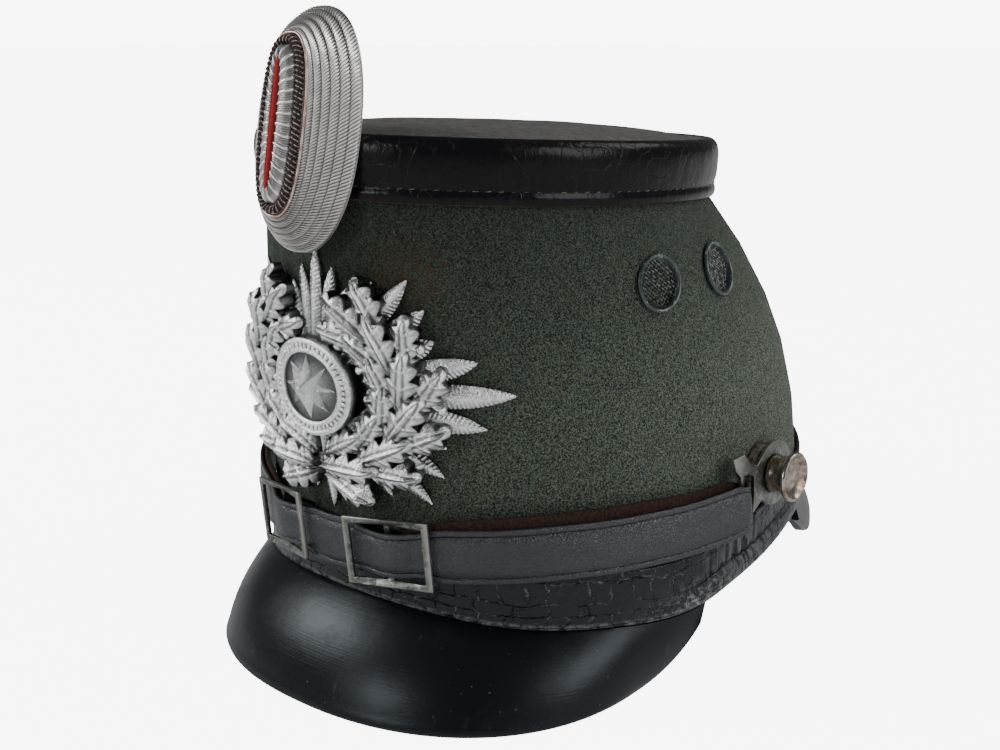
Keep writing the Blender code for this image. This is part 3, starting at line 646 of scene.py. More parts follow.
def crown_material():
    crown = Finish("crown_leather", Specular_IOR_Level=0.14)
    top = crown.attribute("top")
    scuffs = crown.use("scuffs", Stretch=(1.0, 1.0, 0.16), Amount=0.55)
    creases = crown.use("age_cracks", Scale=170.0, Width=0.035, Amount=0.46)["Mask"]
    dull = crown.times(scuffs["Patches"], crown.span(crown.noise(900.0, 4.0), 0.35, 0.65))
    color = crown.mix(dull, look().leather_color, (0.030, 0.030, 0.031))
    color = crown.mix(crown.times(scuffs["Lines"], 0.7), color, (0.10, 0.10, 0.10))
    wrinkle = crown.noise(300.0, 6.0, 0.78, 1.8, at=crown.stretched((0.6, 1.5, 1.0)))
    # The top's pale grey is partly the dull top's own colour and partly a painted sheen, paler where the wrinkles stand
    # higher.
    matte_and_painted_sheen = crown.mix(crown.span(wrinkle, 0.38, 0.66), (0.075, 0.075, 0.072), (0.21, 0.205, 0.195))
    color = crown.mix(top, color, matte_and_painted_sheen)
    color = crown.mix(crown.times(creases, 0.18), color, (0.035, 0.034, 0.033))
    color = crown.mix(crown.attribute("raw"), color, (0.120, 0.075, 0.050))
    rough = crown.most(crown.span(dull, 0.0, 0.5, 0.24, 0.5), crown.times(top, 0.62))
    normal = crown.bump(crown.noise(150.0, 4.0, 0.62, at=crown.stretched((1.0, 1.0, 0.55))), 0.35, 0.0012)
    normal = crown.bump(crown.maths("SUBTRACT", 1.0, creases), 0.22, 0.0003, normal)
    normal = crown.bump(crown.times(wrinkle, top), 0.8, 0.0009, normal)
    return crown.done(Base_Color=color, Roughness=rough, Normal=normal)


def thread_material():
    thread = Finish("waxed_thread", Roughness=0.7)
    tone = thread.span(thread.noise(500.0, 2.0), 0.42, 0.66)
    return thread.done(Base_Color=thread.mix(tone, (0.008, 0.008, 0.008), (0.13, 0.115, 0.10)))


def stitch_pattern(length, radius):
    """One stitch: a short thread, sunk at both ends."""
    deselect()
    bpy.ops.mesh.primitive_cylinder_add(vertices=6, radius=radius, depth=length, end_fill_type="TRIFAN")
    obj = named("stitch_pattern")
    with editing(obj):
        for side in (1, -1):
            select_mesh()
            bpy.ops.mesh.bisect(plane_co=(0, 0, side * length / 4), plane_no=(0, 0, 1))
    for vert in obj.data.vertices:
        end = abs(vert.co.z) / (length / 2)
        vert.co.x -= radius * 1.3 * end**4
        vert.co.y *= 1.0 - 0.35 * end**2
    return obj


def make_crown():
    def place(column, row):
        angle = TAU * column / 192
        scale, grow, height = CROWN_PROFILE[row]
        point = crown_point(angle, scale, grow, height)
        if row in CROWN_EDGE_ROWS:
            ripple = noise.noise(Vector((6.0 * math.sin(angle), 6.0 * math.cos(angle), height * 220.0)))
            point += Vector((math.sin(angle), -math.cos(angle), 0.0)) * (0.00022 * ripple)
        elif row > 21:
            ripple = noise.noise(Vector((point.x * 90.0, point.y * 90.0, 3.0)))
            point.z += 0.0004 * ripple * (1.0 - scale * 0.6)
        return point

    rows = len(CROWN_PROFILE) - 1
    crown = laid_grid("crown_leather_cover", 192, rows, place, "top", lambda column, row: float(row > 20))
    depths = [vert.co.z - crown_plane(vert.co.y) for vert in crown.data.vertices]
    store(crown, "raw", [float(depth < -0.01855) for depth in depths])
    close_up(crown)
    apply_modifier(crown, "SUBSURF", levels=1, render_levels=1)
    finish_piece(shade(crown), crown_material(), "black_leather", "crown")


def make_crown_stitches():
    perimeter = TAU * math.sqrt((CROWN_HALF_LENGTH**2 + CROWN_HALF_WIDTH**2) / 2)
    count = int(perimeter / sizes().stitch_pitch)
    matrices = []
    for k in range(count):
        angle = TAU * k / count
        here = crown_point(angle, 1.0, STITCH_GROWTH, STITCH_HEIGHT)
        along = (crown_point(angle + 0.01, 1.0, STITCH_GROWTH, STITCH_HEIGHT) - here).normalized()
        out = Vector((math.sin(angle) / CROWN_HALF_WIDTH, -math.cos(angle) / CROWN_HALF_LENGTH, 0.0)).normalized()
        tilt = 0.12 + 0.22 * noise.noise(Vector((k * 0.7, 0.0, 0.0)))
        matrices.append(axes(out, along.cross(out).normalized(), along, here) @ Matrix.Rotation(tilt, 4, "X"))
    stitches = copies("crown_stitches", stitch_pattern(STITCH_LENGTH, THREAD_RADIUS), matrices)
    finish_piece(shade(stitches), thread_material(), "black_leather")


class SHAKO_OT_crown(bpy.types.Operator):
    """Lays the leather crown, its turned-down edge and its seam"""

    bl_idname = "shako.crown"
    bl_label = "Leather Crown"

    def execute(self, context):
        make_crown()
        make_crown_stitches()
        return {"FINISHED"}


# ---------------------------------------------------------------- base band


BAND_PROFILE = (  # (height above the rim, growth outside the felt, share of the bead)
    (0.0004, 0.0000, 0.0), (0.0184, 0.0000, 0.0), (0.0186, 0.0005, 0.0), (0.0183, 0.0012, 0.0),
    (0.0174, 0.0014, 0.0), (0.0150, 0.0014, 0.0), (0.0120, 0.0014, 0.0), (0.0095, 0.0014, 0.0),
    (0.0078, 0.0014, -0.20), (0.0070, 0.0014, 0.15), (0.0060, 0.0014, 0.75), (0.0046, 0.0014, 0.96),
    (0.0034, 0.0014, 1.0), (0.0022, 0.0014, 0.98), (0.0012, 0.0014, 0.80), (0.0003, 0.0013, 0.40),
    (0.0000, 0.0008, 0.1),
)
BAND_COLUMNS = 360
CRACKS = (((92.0, 5.2, 1.0), 0.080, 0.40, 0.50), ((230.0, 9.5, 1.0), 0.110, 0.52, 0.60))  # (size, width, from, to)


def band_material():
    """Stiff cracked leather: upright and level cracks cut it into small plates."""
    band = Finish("band_leather", Specular_IOR_Level=0.34, Specular_Tint=(0.84, 0.92, 1.0, 1.0))
    flat, worn, pleated = band.flat(), band.attribute("worn"), band.attribute("pleated")
    moved = band.warped(flat, 75.0, 5.0, 0.65, (0.022, 0.22, 0.0))
    near = band.maths("ADD", band.noise(48.0, 3.0), band.times(worn, 0.16))
    masks = []
    for size, width, low, high in CRACKS:
        inputs = {"Vector": band.stretched(size, moved), "Scale": 1.0, "Mortar Size": width, "Mortar Smooth": 1.0}
        inputs.update({"Brick Width": 1.7, "Row Height": 1.0})
        plates = band.add("TexBrick", inputs, offset=0.37, squash=0.6)
        masks.append(band.times(plates.outputs["Fac"], band.span(near, low, high)))
    crack = band.most(*masks)
    patches = band.use("scuffs", Stretch=(1.0, 1.0, 0.3), Amount=0.6)["Patches"]
    color = band.mix(patches, [part * 1.5 for part in look().leather_color], (0.032, 0.034, 0.038))
    # Pale rims along the cracks: partly the worn, cracked finish and partly a painted highlight on their raised edges.
    broken = band.span(band.noise(420.0, 3.0, 0.7), 0.42, 0.60, 0.0, 0.9)
    color = band.mix(band.times(band.span(crack, 0.02, 0.35), broken), color, (0.13, 0.135, 0.14))
    color = band.mix(band.span(crack, 0.60, 0.85), color, (0.002, 0.002, 0.002))
    # Pale stripes on the pleats follow their height: a painted highlight on the pleats' ridges.
    rows = band.noise(1.0, 2.0, at=band.stretched((420.0, 3.0, 1.0), flat))
    color = band.mix(band.times(pleated, band.span(rows, 0.42, 0.58), 0.8), color, (0.13, 0.135, 0.14))
    # Painted shade in the groove above the rolled bead.
    color = band.mix(band.attribute("painted_groove_shade"), color, (0.003, 0.003, 0.003))
    broken = band.span(band.noise(340.0, 4.0, 0.7), 0.40, 0.56)
    color = band.mix(band.times(band.attribute("seam"), broken, 0.8), color, (0.16, 0.17, 0.175))
    frayed = band.times(worn, band.span(band.noise(430.0, 5.0, 0.75), 0.48, 0.58))
    color = band.mix(frayed, color, (0.30, 0.30, 0.29))
    normal = band.bump(band.noise(200.0, 4.0, 0.65), 0.6, 0.0014)
    normal = band.bump(band.maths("SUBTRACT", 1.0, crack), 1.0, 0.0008, normal)
    normal = band.bump(band.times(pleated, rows), 0.9, 0.0012, normal)
    normal = band.bump(band.times(worn, band.noise(600.0, 4.0, 0.7)), 0.8, 0.0010, normal)
    return band.done(Base_Color=color, Roughness=band.span(patches, 0.0, 0.7, 0.30, 0.55), Normal=normal)


def make_band():
    """Closed band; behind the front peak it is pleated and ends in a rolled edge."""
    count = len(BAND_PROFILE)

    def bead_at(y):
        return smooth_step((y + 0.040) / 0.018)

    def place(column, row):
        angle = TAU * column / BAND_COLUMNS
        height, out, bead = BAND_PROFILE[row % count]
        foot = wall_point(angle, 0.0)
        share = bead_at(foot.y)
        grow = GAP + out + bead * BEAD_THICKNESS * share
        if out > 0.001 and height > 0.001:
            grow += 0.00018 * noise.noise(Vector((60.0 * foot.x, 60.0 * foot.y, height * 150.0)))
            pleat = math.sin(angle * 110.0 + 5.0 * noise.noise(foot * 40.0))
            grow += 0.00045 * pleat * bell(foot.y + 0.012, 0.020) * share * (1.0 - 0.5 * bead)
        return off_wall(angle, foot.z + height, max(grow, GAP))

    def worn(column, row):
        corner = bell(wall_point(TAU * column / BAND_COLUMNS, 0.0).y + 0.030, 0.012)
        return corner * smooth_step(1.0 - BAND_PROFILE[row % count][0] / 0.012)

    band = laid_grid("base_band_cover", BAND_COLUMNS, count, place, "worn", worn)
    masks = {"seam": [], "pleated": [], "painted_groove_shade": []}
    for number in range(len(band.data.vertices)):
        row, column = divmod(number, BAND_COLUMNS + 1)
        row, level = row % count, BAND_PROFILE[row % count][0]
        y = wall_point(TAU * column / BAND_COLUMNS, 0.0).y
        masks["seam"].append(float(level < 0.0013 and row > count // 2))
        masks["pleated"].append(bead_at(y) * bell(y + 0.006, 0.022) * float(row > 3))
        # Painted shade: marks the groove above the bead.
        masks["painted_groove_shade"].append(bead_at(y) * float(0.0070 < level < 0.0090 and row > 3))
    for name, values in masks.items():
        store(band, name, values)
    finish_piece(shade(close_up(band)), band_material(), "black_leather", "base_band")


class SHAKO_OT_band(bpy.types.Operator):
    """Lays the leather band round the rim"""

    bl_idname = "shako.band"
    bl_label = "Base Band"

    def execute(self, context):
        make_band()
        return {"FINISHED"}


# ---------------------------------------------------------------- peaks


PEAK_OUTER_STEPS = (0.0, 0.03, 0.08, 0.16, 0.26, 0.37, 0.48, 0.59, 0.70, 0.80, 0.87, 0.92)
PEAK_LIP = ((0.0, 0.0013), (0.0002, 0.0006), (0.0007, 0.0001), (0.0015, 0.0), (0.0024, 0.0001), (0.0029, 0.0006))
PEAK_INNER_STEPS = (0.94, 0.86, 0.72, 0.56, 0.40, 0.24, 0.10, 0.02, 0.0)
LIP_ROW = 14.5


def front_edge(share):
    """Lower outer edge of the front peak; share 0 is the middle and 1 the corner."""
    half_width, centre = FRONT_PEAK["half_width"], FRONT_PEAK["centre"]
    if share <= FRONT_PEAK_LIFT:
        angle = share / FRONT_PEAK_LIFT * math.pi / 2
        power = 2 / FRONT_PEAK["power"]
        x = half_width * signed_power(math.sin(angle), power)
        y = centre + (FRONT_PEAK["tip"] - centre) * abs(math.cos(angle)) ** power
        return Vector((x, y, 0.0))
    u = (share - FRONT_PEAK_LIFT) / (1 - FRONT_PEAK_LIFT)
    weights = ((1 - u) ** 3, 3 * u * (1 - u) ** 2, 3 * u * u * (1 - u), u**3)
    climb = sum((Vector(row) * weight for row, weight in zip(FRONT_PEAK_RISE, weights)), Vector())
    return Vector((half_width, centre, 0.0)) + climb


def rear_edge(share):
    power = 2 / REAR_PEAK["power"]
    angle = share * math.pi / 2
    x = REAR_PEAK["half_width"] * signed_power(math.sin(angle), power)
    centre = REAR_PEAK["centre"]
    y = centre + (REAR_PEAK["tip"] - centre) * abs(math.cos(angle)) ** power
    return Vector((x + 0.006 * share**6, y, 0.45 * max(0.098 - y, 0.0) + 0.0025 * share**4))


def peak_loop(root_angle, edge, bulge):
    """One slice of a peak, from the rim down, round the lip and back up inside."""
    foot = wall_point(root_angle, 0.0)
    root = off_wall(root_angle, foot.z, GAP + BAND_THICKNESS)
    root.z = foot.z - PEAK_SEAT
    run = edge - root
    outward = wall_normal(root_angle, 0.0)
    outward = Vector((outward.x, outward.y, 0.0)).normalized()
    inward = -outward
    normal = (outward * -run.z + Vector((0, 0, 1)) * run.dot(outward)).normalized()
    fade = smooth_step((run.length - 0.008) / 0.028)

    def arch(u):
        return normal * (4 * u * (1 - u) * bulge * fade)

    outer = [root + run * u + arch(u) for u in PEAK_OUTER_STEPS]
    lip = [edge + inward * depth + Vector((0, 0, rise)) for depth, rise in PEAK_LIP]
    inner_root = root + inward * PEAK_THICKNESS
    inner_run = edge + inward * PEAK_THICKNESS + Vector((0, 0, 0.0006)) - inner_root
    return outer + lip + [inner_root + inner_run * u + arch(u) for u in PEAK_INNER_STEPS]


def peak_material():
    peak = Finish("peak_lacquer", Specular_IOR_Level=0.30, Specular_Tint=(0.82, 0.92, 1.0, 1.0))
    scuffs = peak.use("scuffs", Stretch=(1.0, 0.35, 0.12), Amount=0.5)
    color = peak.mix(peak.times(scuffs["Patches"], 0.4), (0.0035, 0.0040, 0.0055), (0.013, 0.014, 0.016))
    color = peak.mix(peak.times(scuffs["Lines"], 0.7), color, (0.06, 0.065, 0.07))
    specks = peak.span(peak.noise(800.0, 1.0), 0.755, 0.79)
    color = peak.mix(peak.times(specks, 0.6), color, (0.12, 0.12, 0.11))
    rubbed = peak.times(peak.attribute("lip"), peak.span(peak.noise(260.0, 4.0), 0.4, 0.7), 0.35)
    color = peak.mix(rubbed, color, (0.045, 0.052, 0.060))
    drawn = peak.noise(1.0, 3.0, at=peak.stretched((3.0, 260.0, 1.0), peak.flat()))
    normal = peak.bump(drawn, 0.16, 0.0003, peak.bump(peak.noise(80.0, 3.0, 0.5), 0.14, 0.0012))
    normal = peak.bump(scuffs["Lines"], -0.3, 0.0002, normal)
    rough = peak.span(scuffs["Patches"], 0.0, 0.5, 0.33, 0.46)
    return peak.done(Base_Color=color, Roughness=rough, Normal=normal)


def make_peak(name, node, edge_of, middle, sizes_of, columns, material):
    """Slices from corner to corner; the share runs from -1 to 1."""
    shares = [2 * k / columns - 1 for k in range(columns + 1)]
    corner = math.radians(sizes_of["corner"])
    loops = [peak_loop(middle + corner * share, edge_of(share), sizes_of["bulge"]) for share in shares]
    rows = len(loops[0])
    peak = laid_grid(
        name, columns, rows, lambda k, row: loops[k][row % rows], "lip", lambda k, row: bell(row - LIP_ROW, 2.2)
    )
    finish_piece(shade(close_up(peak, fill_ends=True), 50), material, "lacquered_fibre", node)


class SHAKO_OT_peaks(bpy.types.Operator):
    """Moulds the lacquered front and rear peaks"""

    bl_idname = "shako.peaks"
    bl_label = "Peaks"

    def execute(self, context):
        def front(share):
            edge = front_edge(abs(share))
            edge.x = edge.x if share > 0 else -edge.x * FRONT_PEAK_RIGHT
            return edge

        def rear(share):
            edge = rear_edge(abs(share))
            edge.x = math.copysign(edge.x, -share)
            return edge

        lacquer = peak_material()
        make_peak("front_peak_lacquered", "front_peak", front, 0.0, FRONT_PEAK, 128, lacquer)
        make_peak("rear_peak_lacquered", "rear_peak", rear, math.pi, REAR_PEAK, 112, lacquer)
        return {"FINISHED"}


# ---------------------------------------------------------------- vents


EYELET_PROFILE = (  # (radius, height over the felt)
    (VENT_BORE, -0.0028), (VENT_BARREL, -0.0028), (VENT_BARREL, GAP), (VENT_RADIUS - 0.0001, GAP),
    (VENT_RADIUS, 0.0006), (VENT_RADIUS - 0.0002, 0.0010), (VENT_RADIUS - 0.0005, 0.0012),
    (VENT_RADIUS - 0.0009, 0.0011), (VENT_BORE, 0.0007),
)
GAUZE_DEPTH = 0.0006
GAUZE_SIDES = 16


def paint_material():
    paint = Finish("vent_paint", Specular_IOR_Level=0.70)
    chips_and_painted_sheen = paint.span(paint.noise(600.0, 5.0, 0.7), 0.58, 0.62)
    # A painted sheen: the paint turns paler where the ring is seen edge-on, on top of the real chips.
    rim = paint.add("LayerWeight", {"Blend": 0.35}).outputs["Facing"]
    chips_and_painted_sheen = paint.most(chips_and_painted_sheen, paint.times(paint.span(rim, 0.55, 0.95), 0.35))
    color = paint.mix(chips_and_painted_sheen, (0.026, 0.042, 0.040), (0.20, 0.245, 0.23))
    rough = paint.span(chips_and_painted_sheen, 0.0, 1.0, 0.30, 0.5)
    return paint.done(Base_Color=color, Roughness=rough, Normal=paint.bump(chips_and_painted_sheen, -0.3, 0.0002))


def gauze_material():
    wire = Finish("woven_wire", Metallic=1.0, Roughness=0.42)
    tone = wire.span(wire.noise(900.0, 2.0), 0.40, 0.62)
    return wire.done(Base_Color=wire.mix(tone, (0.10, 0.105, 0.105), (0.42, 0.43, 0.42)))


def wire_pattern(length, pitch, radius):
    """One wavy wire along X, made by extruding a small ring step by step."""
    deselect()
    bpy.ops.mesh.primitive_circle_add(vertices=4, radius=radius, fill_type="NGON", rotation=(0, math.pi / 2, 0))
    bpy.ops.object.transform_apply(location=True, rotation=True, scale=True)
    obj = named("wire_pattern")
    steps = 2 * int(length / pitch)
    with editing(obj):
        bpy.ops.transform.translate(value=(-steps * pitch / 4, 0, 0))
        for _ in range(steps):
            bpy.ops.mesh.extrude_region_move(TRANSFORM_OT_translate={"value": (pitch / 2, 0, 0)})
        select_mesh()
        bpy.ops.mesh.normals_make_consistent(inside=False)
    for vert in obj.data.vertices:
        vert.co.z += radius * 1.05 * math.cos(math.pi * vert.co.x / pitch)
    return obj


def gauze_disc(radius):
    """Two crossing sets of wires, each passing over and under the other, cut to a disc."""
    pitch = sizes().wire_pitch
    count = int(radius / pitch)
    turns = []
    for turn in (0.0, math.pi / 2):
        for k in range(-count, count + 1):
            swap = Matrix.Rotation(math.pi if (k + (turn > 0)) % 2 else 0.0, 4, "X")
            turns.append(Matrix.Rotation(turn, 4, "Z") @ Matrix.Translation((0, k * pitch, 0)) @ swap)
    disc = copies("gauze_pattern", wire_pattern(2 * radius + 2 * pitch, pitch, pitch * 0.13), turns)
    with editing(disc):
        for k in range(GAUZE_SIDES):
            angle = TAU * k / GAUZE_SIDES
            way = Vector((math.cos(angle), math.sin(angle), 0.0))
            select_mesh()
            bpy.ops.mesh.bisect(plane_co=way * radius, plane_no=way, clear_outer=True, use_fill=True)
    return disc


class SHAKO_OT_vents(bpy.types.Operator):
    """Turns the painted eyelets and weaves their gauze"""

    bl_idname = "shako.vents"
    bl_label = "Vents"

    def execute(self, context):
        paint, wire, disc = paint_material(), gauze_material(), gauze_disc(VENT_BORE - GAP)
        for side, sign in (("left", 1), ("right", -1)):
            for place, angle, height in VENTS:
                matrix = wall_frame(sign * math.radians(angle), height)
                eyelet = shade(turned(f"eyelet_{side}_{place}", EYELET_PROFILE, matrix, 44), 40)
                finish_piece(eyelet, paint, "green_paint", f"vent_ring_{side}_{place}")
                turn = Matrix.Rotation(math.radians(40 + angle / 8), 4, "Z")
                seat = matrix @ Matrix.Translation((0, 0, -GAUZE_DEPTH)) @ turn
                gauze = copies(f"gauze_{side}_{place}", disc, [seat], keep=True)
                finish_piece(gauze, wire, "wire_gauze", f"vent_mesh_{side}_{place}")
        bpy.data.objects.remove(disc, do_unlink=True)
        return {"FINISHED"}


# ---------------------------------------------------------------- chin strap


STRAP_SECTION = (  # (across, through): share of the half width and of the half thickness, grain side first
    (-0.96, -1.00), (-0.86, -1.06), (-0.80, -0.98), (-0.765, -0.40), (-0.73, -0.98), (-0.45, -1.22),
    (0.0, -1.35), (0.45, -1.22), (0.73, -0.98), (0.765, -0.40), (0.80, -0.98), (0.86, -1.06),
    (0.96, -1.00), (0.99, -0.70), (1.00, 0.0), (0.99, 0.75), (0.95, 1.00), (0.5, 1.0),
    (0.0, 1.0), (-0.5, 1.0), (-0.95, 1.00), (-0.99, 0.75), (-1.00, 0.0), (-0.99, -0.70),
)
STRAP_CREASES = (3, 9)
STRAP_FLESH = (14, 22)


def strap_path():
    """Half of the strap's run, from under a buckle, round the hook, to the front: (degrees, out, lift)."""
    path = []
    steps = 48
    for k in range(steps + 1):
        angle = STRAP_END + (FOLD_ANGLE - STRAP_END) * k / steps
        path.append((math.radians(angle), INNER_LAYER, smooth_rows(INNER_LIFT_ROWS, angle)))
    turns = 14
    for k in range(1, turns):
        turn = math.pi * k / turns - math.pi / 2
        swing = FOLD_RADIUS * math.cos(turn) / BODY_HALF_LENGTH
        out = INNER_LAYER + FOLD_RADIUS + FOLD_RADIUS * math.sin(turn)
        path.append((math.radians(FOLD_ANGLE) + swing, out, 0.0))
    angle = FOLD_ANGLE
    while angle > 0.1:
        path.append((math.radians(angle), smooth_rows(OUTER_ROWS, angle), 0.0))
        angle -= 0.6
    return path


def grain_side_material():
    strap, base = Finish("strap_grain_side", Specular_IOR_Level=0.76), look().strap_color
    strap.done(Specular_Tint=(0.92, 0.95, 1.0, 1.0))
    cells = strap.use("leather_grain", Scale=1300.0)["Height"]
    patches = strap.use("scuffs", Stretch=(0.3, 0.3, 1.0), Amount=0.5)["Patches"]
    color = strap.mix(patches, base, [part * 2.1 for part in base])
    color = strap.mix(strap.times(strap.attribute("crease"), 0.95), color, (0.002, 0.002, 0.002))
    color = strap.mix(strap.span(cells, 0.0, 0.35, 0.60, 1.0), (0.010, 0.010, 0.011), color)
    normal = strap.bump(cells, 0.36, 0.0004, strap.bump(strap.noise(170.0, 4.0, 0.6), 0.30, 0.0014))
    return strap.done(Base_Color=color, Roughness=strap.span(patches, 0.0, 0.5, 0.32, 0.50), Normal=normal)


def flesh_side_material():
    flesh, base = Finish("strap_flesh_side", Roughness=0.95, Specular_IOR_Level=0.1), look().suede_color
    nap = flesh.noise(1100.0, 4.0, 0.7)
    color = flesh.mix(flesh.span(nap, 0.35, 0.7), [part * 0.5 for part in base], [part * 1.6 for part in base])
    return flesh.done(Base_Color=color, Normal=flesh.bump(nap, 0.5, 0.0004))


def make_strap():
    half = strap_path()
    path = half + [(0.0, OUTER_ROWS[0][1], 0.0)] + [(-angle, out, lift) for angle, out, lift in reversed(half)]
    ends = [path[0]] + path + [path[-1]]
    heights = [smooth_rows(STRAP_Z_ROWS, abs(math.degrees(row[0]))) for row in ends]
    spots = [off_wall(row[0], height + row[2], row[1]) for row, height in zip(ends, heights)]
    frames = []
    for k in range(1, len(ends) - 1):
        angle, out, lift = ends[k]
        along = (spots[k + 1] - spots[k - 1]).normalized()
        upward = off_wall(angle, heights[k] + lift + 0.004, out) - spots[k]
        upward = (upward - along * upward.dot(along)).normalized()
        degrees = abs(math.degrees(angle))
        squeeze = smooth_step(1.6 - abs(degrees - BUCKLE_ANGLE) / 7.0)
        rounding = 0.0022 * bell(degrees - FOLD_ANGLE, 1.3)
        width = STRAP_WIDTH + (STRAP_NECK - STRAP_WIDTH) * squeeze - rounding
        frames.append((spots[k], upward, along.cross(upward), width / 2))
    rows = len(STRAP_SECTION)

    def place(column, row):
        middle, upward, out, half_width = frames[column]
        across, through = STRAP_SECTION[row % rows]
        ripple = noise.noise(middle * 55.0) * 0.00018
        return middle + upward * (half_width * across + ripple) + out * (STRAP_THICKNESS / 2 * through)

    def crease(column, row):
        return float(row in STRAP_CREASES)

    strap = laid_grid("chin_strap_leather", len(frames) - 1, rows, place, "crease", crease)
    for material in (grain_side_material(), flesh_side_material()):
        strap.data.materials.append(material)
    uv = strap.data.uv_layers[0].data
    for face in strap.data.polygons:
        row = sum(uv[i].uv[1] for i in face.loop_indices) / len(face.loop_indices) * rows
        face.material_index = int(STRAP_FLESH[0] <= row <= STRAP_FLESH[1])
    finish_piece(shade(close_up(strap, fill_ends=True), 60), None, "strap_leather", "chin_strap")


class SHAKO_OT_strap(bpy.types.Operator):
    """Lays the creased chin strap, doubled back at both hooks"""

    bl_idname = "shako.strap"
    bl_label = "Chin Strap"

    def execute(self, context):
        make_strap()
        return {"FINISHED"}


# ---------------------------------------------------------------- metal fittings


WASHER_PROFILE = (  # (radius, height over the felt)
    (0.0046, 0.0003), (0.0100, 0.0003), (0.0102, 0.0008), (0.0102, 0.0018), (0.0099, 0.0020),
    (0.0102, 0.0022), (0.0101, 0.0032), (0.0098, 0.0036), (0.0046, 0.0036),
)
KNOB_PROFILE = (
    (0.0, 0.0003), (0.0042, 0.0003), (0.0042, 0.0058), (0.0062, 0.0058), (0.0064, 0.0061), (0.0062, 0.0072),
    (0.0060, 0.0082), (0.0062, 0.0095), (0.0069, 0.0110), (0.0077, 0.0119), (0.0081, 0.0126), (0.0081, 0.0132),
    (0.0077, 0.0136), (0.0072, 0.0136), (0.0067, 0.0131), (0.0056, 0.0122), (0.0040, 0.0117), (0.0020, 0.0115),
    (0.0, 0.0114),
)


def steel_material():
    steel = Finish("oxidised_steel", Metallic=1.0)
    stain = steel.noise(240.0, 6.0, 0.7)
    color = steel.mix(steel.span(stain, 0.4, 0.68), (0.085, 0.092, 0.082), (0.25, 0.26, 0.245))
    bright = steel.times(steel.span(steel.noise(700.0, 3.0), 0.58, 0.68), 0.45)
    bright = steel.most(bright, steel.times(steel.span(steel.pointiness(), 0.52, 0.60), 0.7))
    color = steel.mix(bright, color, (0.60, 0.59, 0.54))
    normal = steel.bump(steel.noise(1200.0, 3.0), 0.15, 0.0002)
    return steel.done(Base_Color=color, Roughness=steel.span(stain, 0.3, 0.7, 0.55, 0.36), Normal=normal)


def nickel_material():
    nickel = Finish("worn_nickel", Metallic=1.0)
    wear = nickel.span(nickel.noise(260.0, 6.0, 0.7), 0.42, 0.60)
    pits = nickel.span(nickel.noise(1300.0, 2.0), 0.60, 0.66)
    color = nickel.mix(wear, (0.46, 0.43, 0.39), (0.27, 0.18, 0.115))
    color = nickel.mix(nickel.times(pits, 0.6), color, (0.07, 0.06, 0.05))
    rough = nickel.span(wear, 0.0, 1.0, 0.22, 0.42)
    return nickel.done(Base_Color=color, Roughness=rough, Normal=nickel.bump(pits, -0.3, 0.0002))


def washer_material():
    washer = Finish("washer_leather", Roughness=0.75)
    tone = washer.noise(500.0, 4.0, 0.7)
    color = washer.mix(washer.span(tone, 0.38, 0.66), (0.035, 0.026, 0.020), (0.20, 0.17, 0.14))
    return washer.done(Base_Color=color, Normal=washer.bump(tone, 0.4, 0.0004))


class SHAKO_OT_fittings(bpy.types.Operator):
    """Eases the buckles and hooks and turns the washers and knobs"""

    bl_idname = "shako.fittings"
    bl_label = "Buckles and Side Fastenings"

    def execute(self, context):
        steel, nickel, leather = steel_material(), nickel_material(), washer_material()
        for side, sign in (("left", 1), ("right", -1)):
            buckle = eased_copy(f"buckle_{side}", f"buckle_frame_{side}", 0.0003)
            finish_piece(buckle, steel, "grey_steel", f"buckle_{side}")
            matrix = wall_frame(sign * math.radians(FITTING_ANGLE), FITTING_Z)
            matrix = matrix @ Matrix.Translation((sign * KNOB_SETBACK, 0.0, 0.0))
            washer = shade(turned(f"washer_pad_{side}", WASHER_PROFILE, matrix, 44), 40)
            finish_piece(washer, leather, "strap_leather", f"washer_{side}")
            hook = eased_copy(f"strap_hook_{side}", f"hook_plate_{side}", 0.00035)
            finish_piece(hook, steel, "grey_steel", f"strap_hook_{side}")
            knob = shade(turned(f"knob_cup_{side}", KNOB_PROFILE, matrix, 48), 45)
            finish_piece(knob, nickel, "worn_nickel", f"knob_{side}")
        return {"FINISHED"}


# ---------------------------------------------------------------- badge


RAYS = 32
RAY_START = 0.30
RAY_SHOULDER = 0.60
RAY_REACHES = (1.0, 0.88, 0.76, 0.88)
RIB_PITCH = 0.00125
LEAF_LOBES = 3.5
LEAF_ROWS = (  # (swing, length, width, height of the stalk, shift across the wreath)
    (0.46, 0.0160, 0.0100, 0.0020, 0.0030),
    (-0.46, 0.0160, 0.0100, 0.0020, -0.0030),
    (0.0, 0.0180, 0.0098, 0.0036, 0.0),
)
LEAF_CLUSTERS = 6
BERRIES = 5
BERRY_RADIUS = 0.0013
BOSS_PROFILE = (  # (radius, height)
    (0.0, 0.0020), (0.0150, 0.0020), (0.0152, 0.0060), (0.0148, 0.0076), (0.0140, 0.0080), (0.0132, 0.0076),
    (0.0130, 0.0070), (0.0124, 0.0070), (0.0120, 0.0079), (0.0112, 0.0082), (0.0106, 0.0078), (0.0104, 0.0070),
    (0.0060, 0.0073), (0.0, 0.0074),
)
BEADS = 48
BEAD_RADIUS = 0.00075
BEAD_RING = 0.0127
STAR_TIP = 0.0098
STAR_NOTCH = 0.0040
STAR_HEIGHT = 0.0050


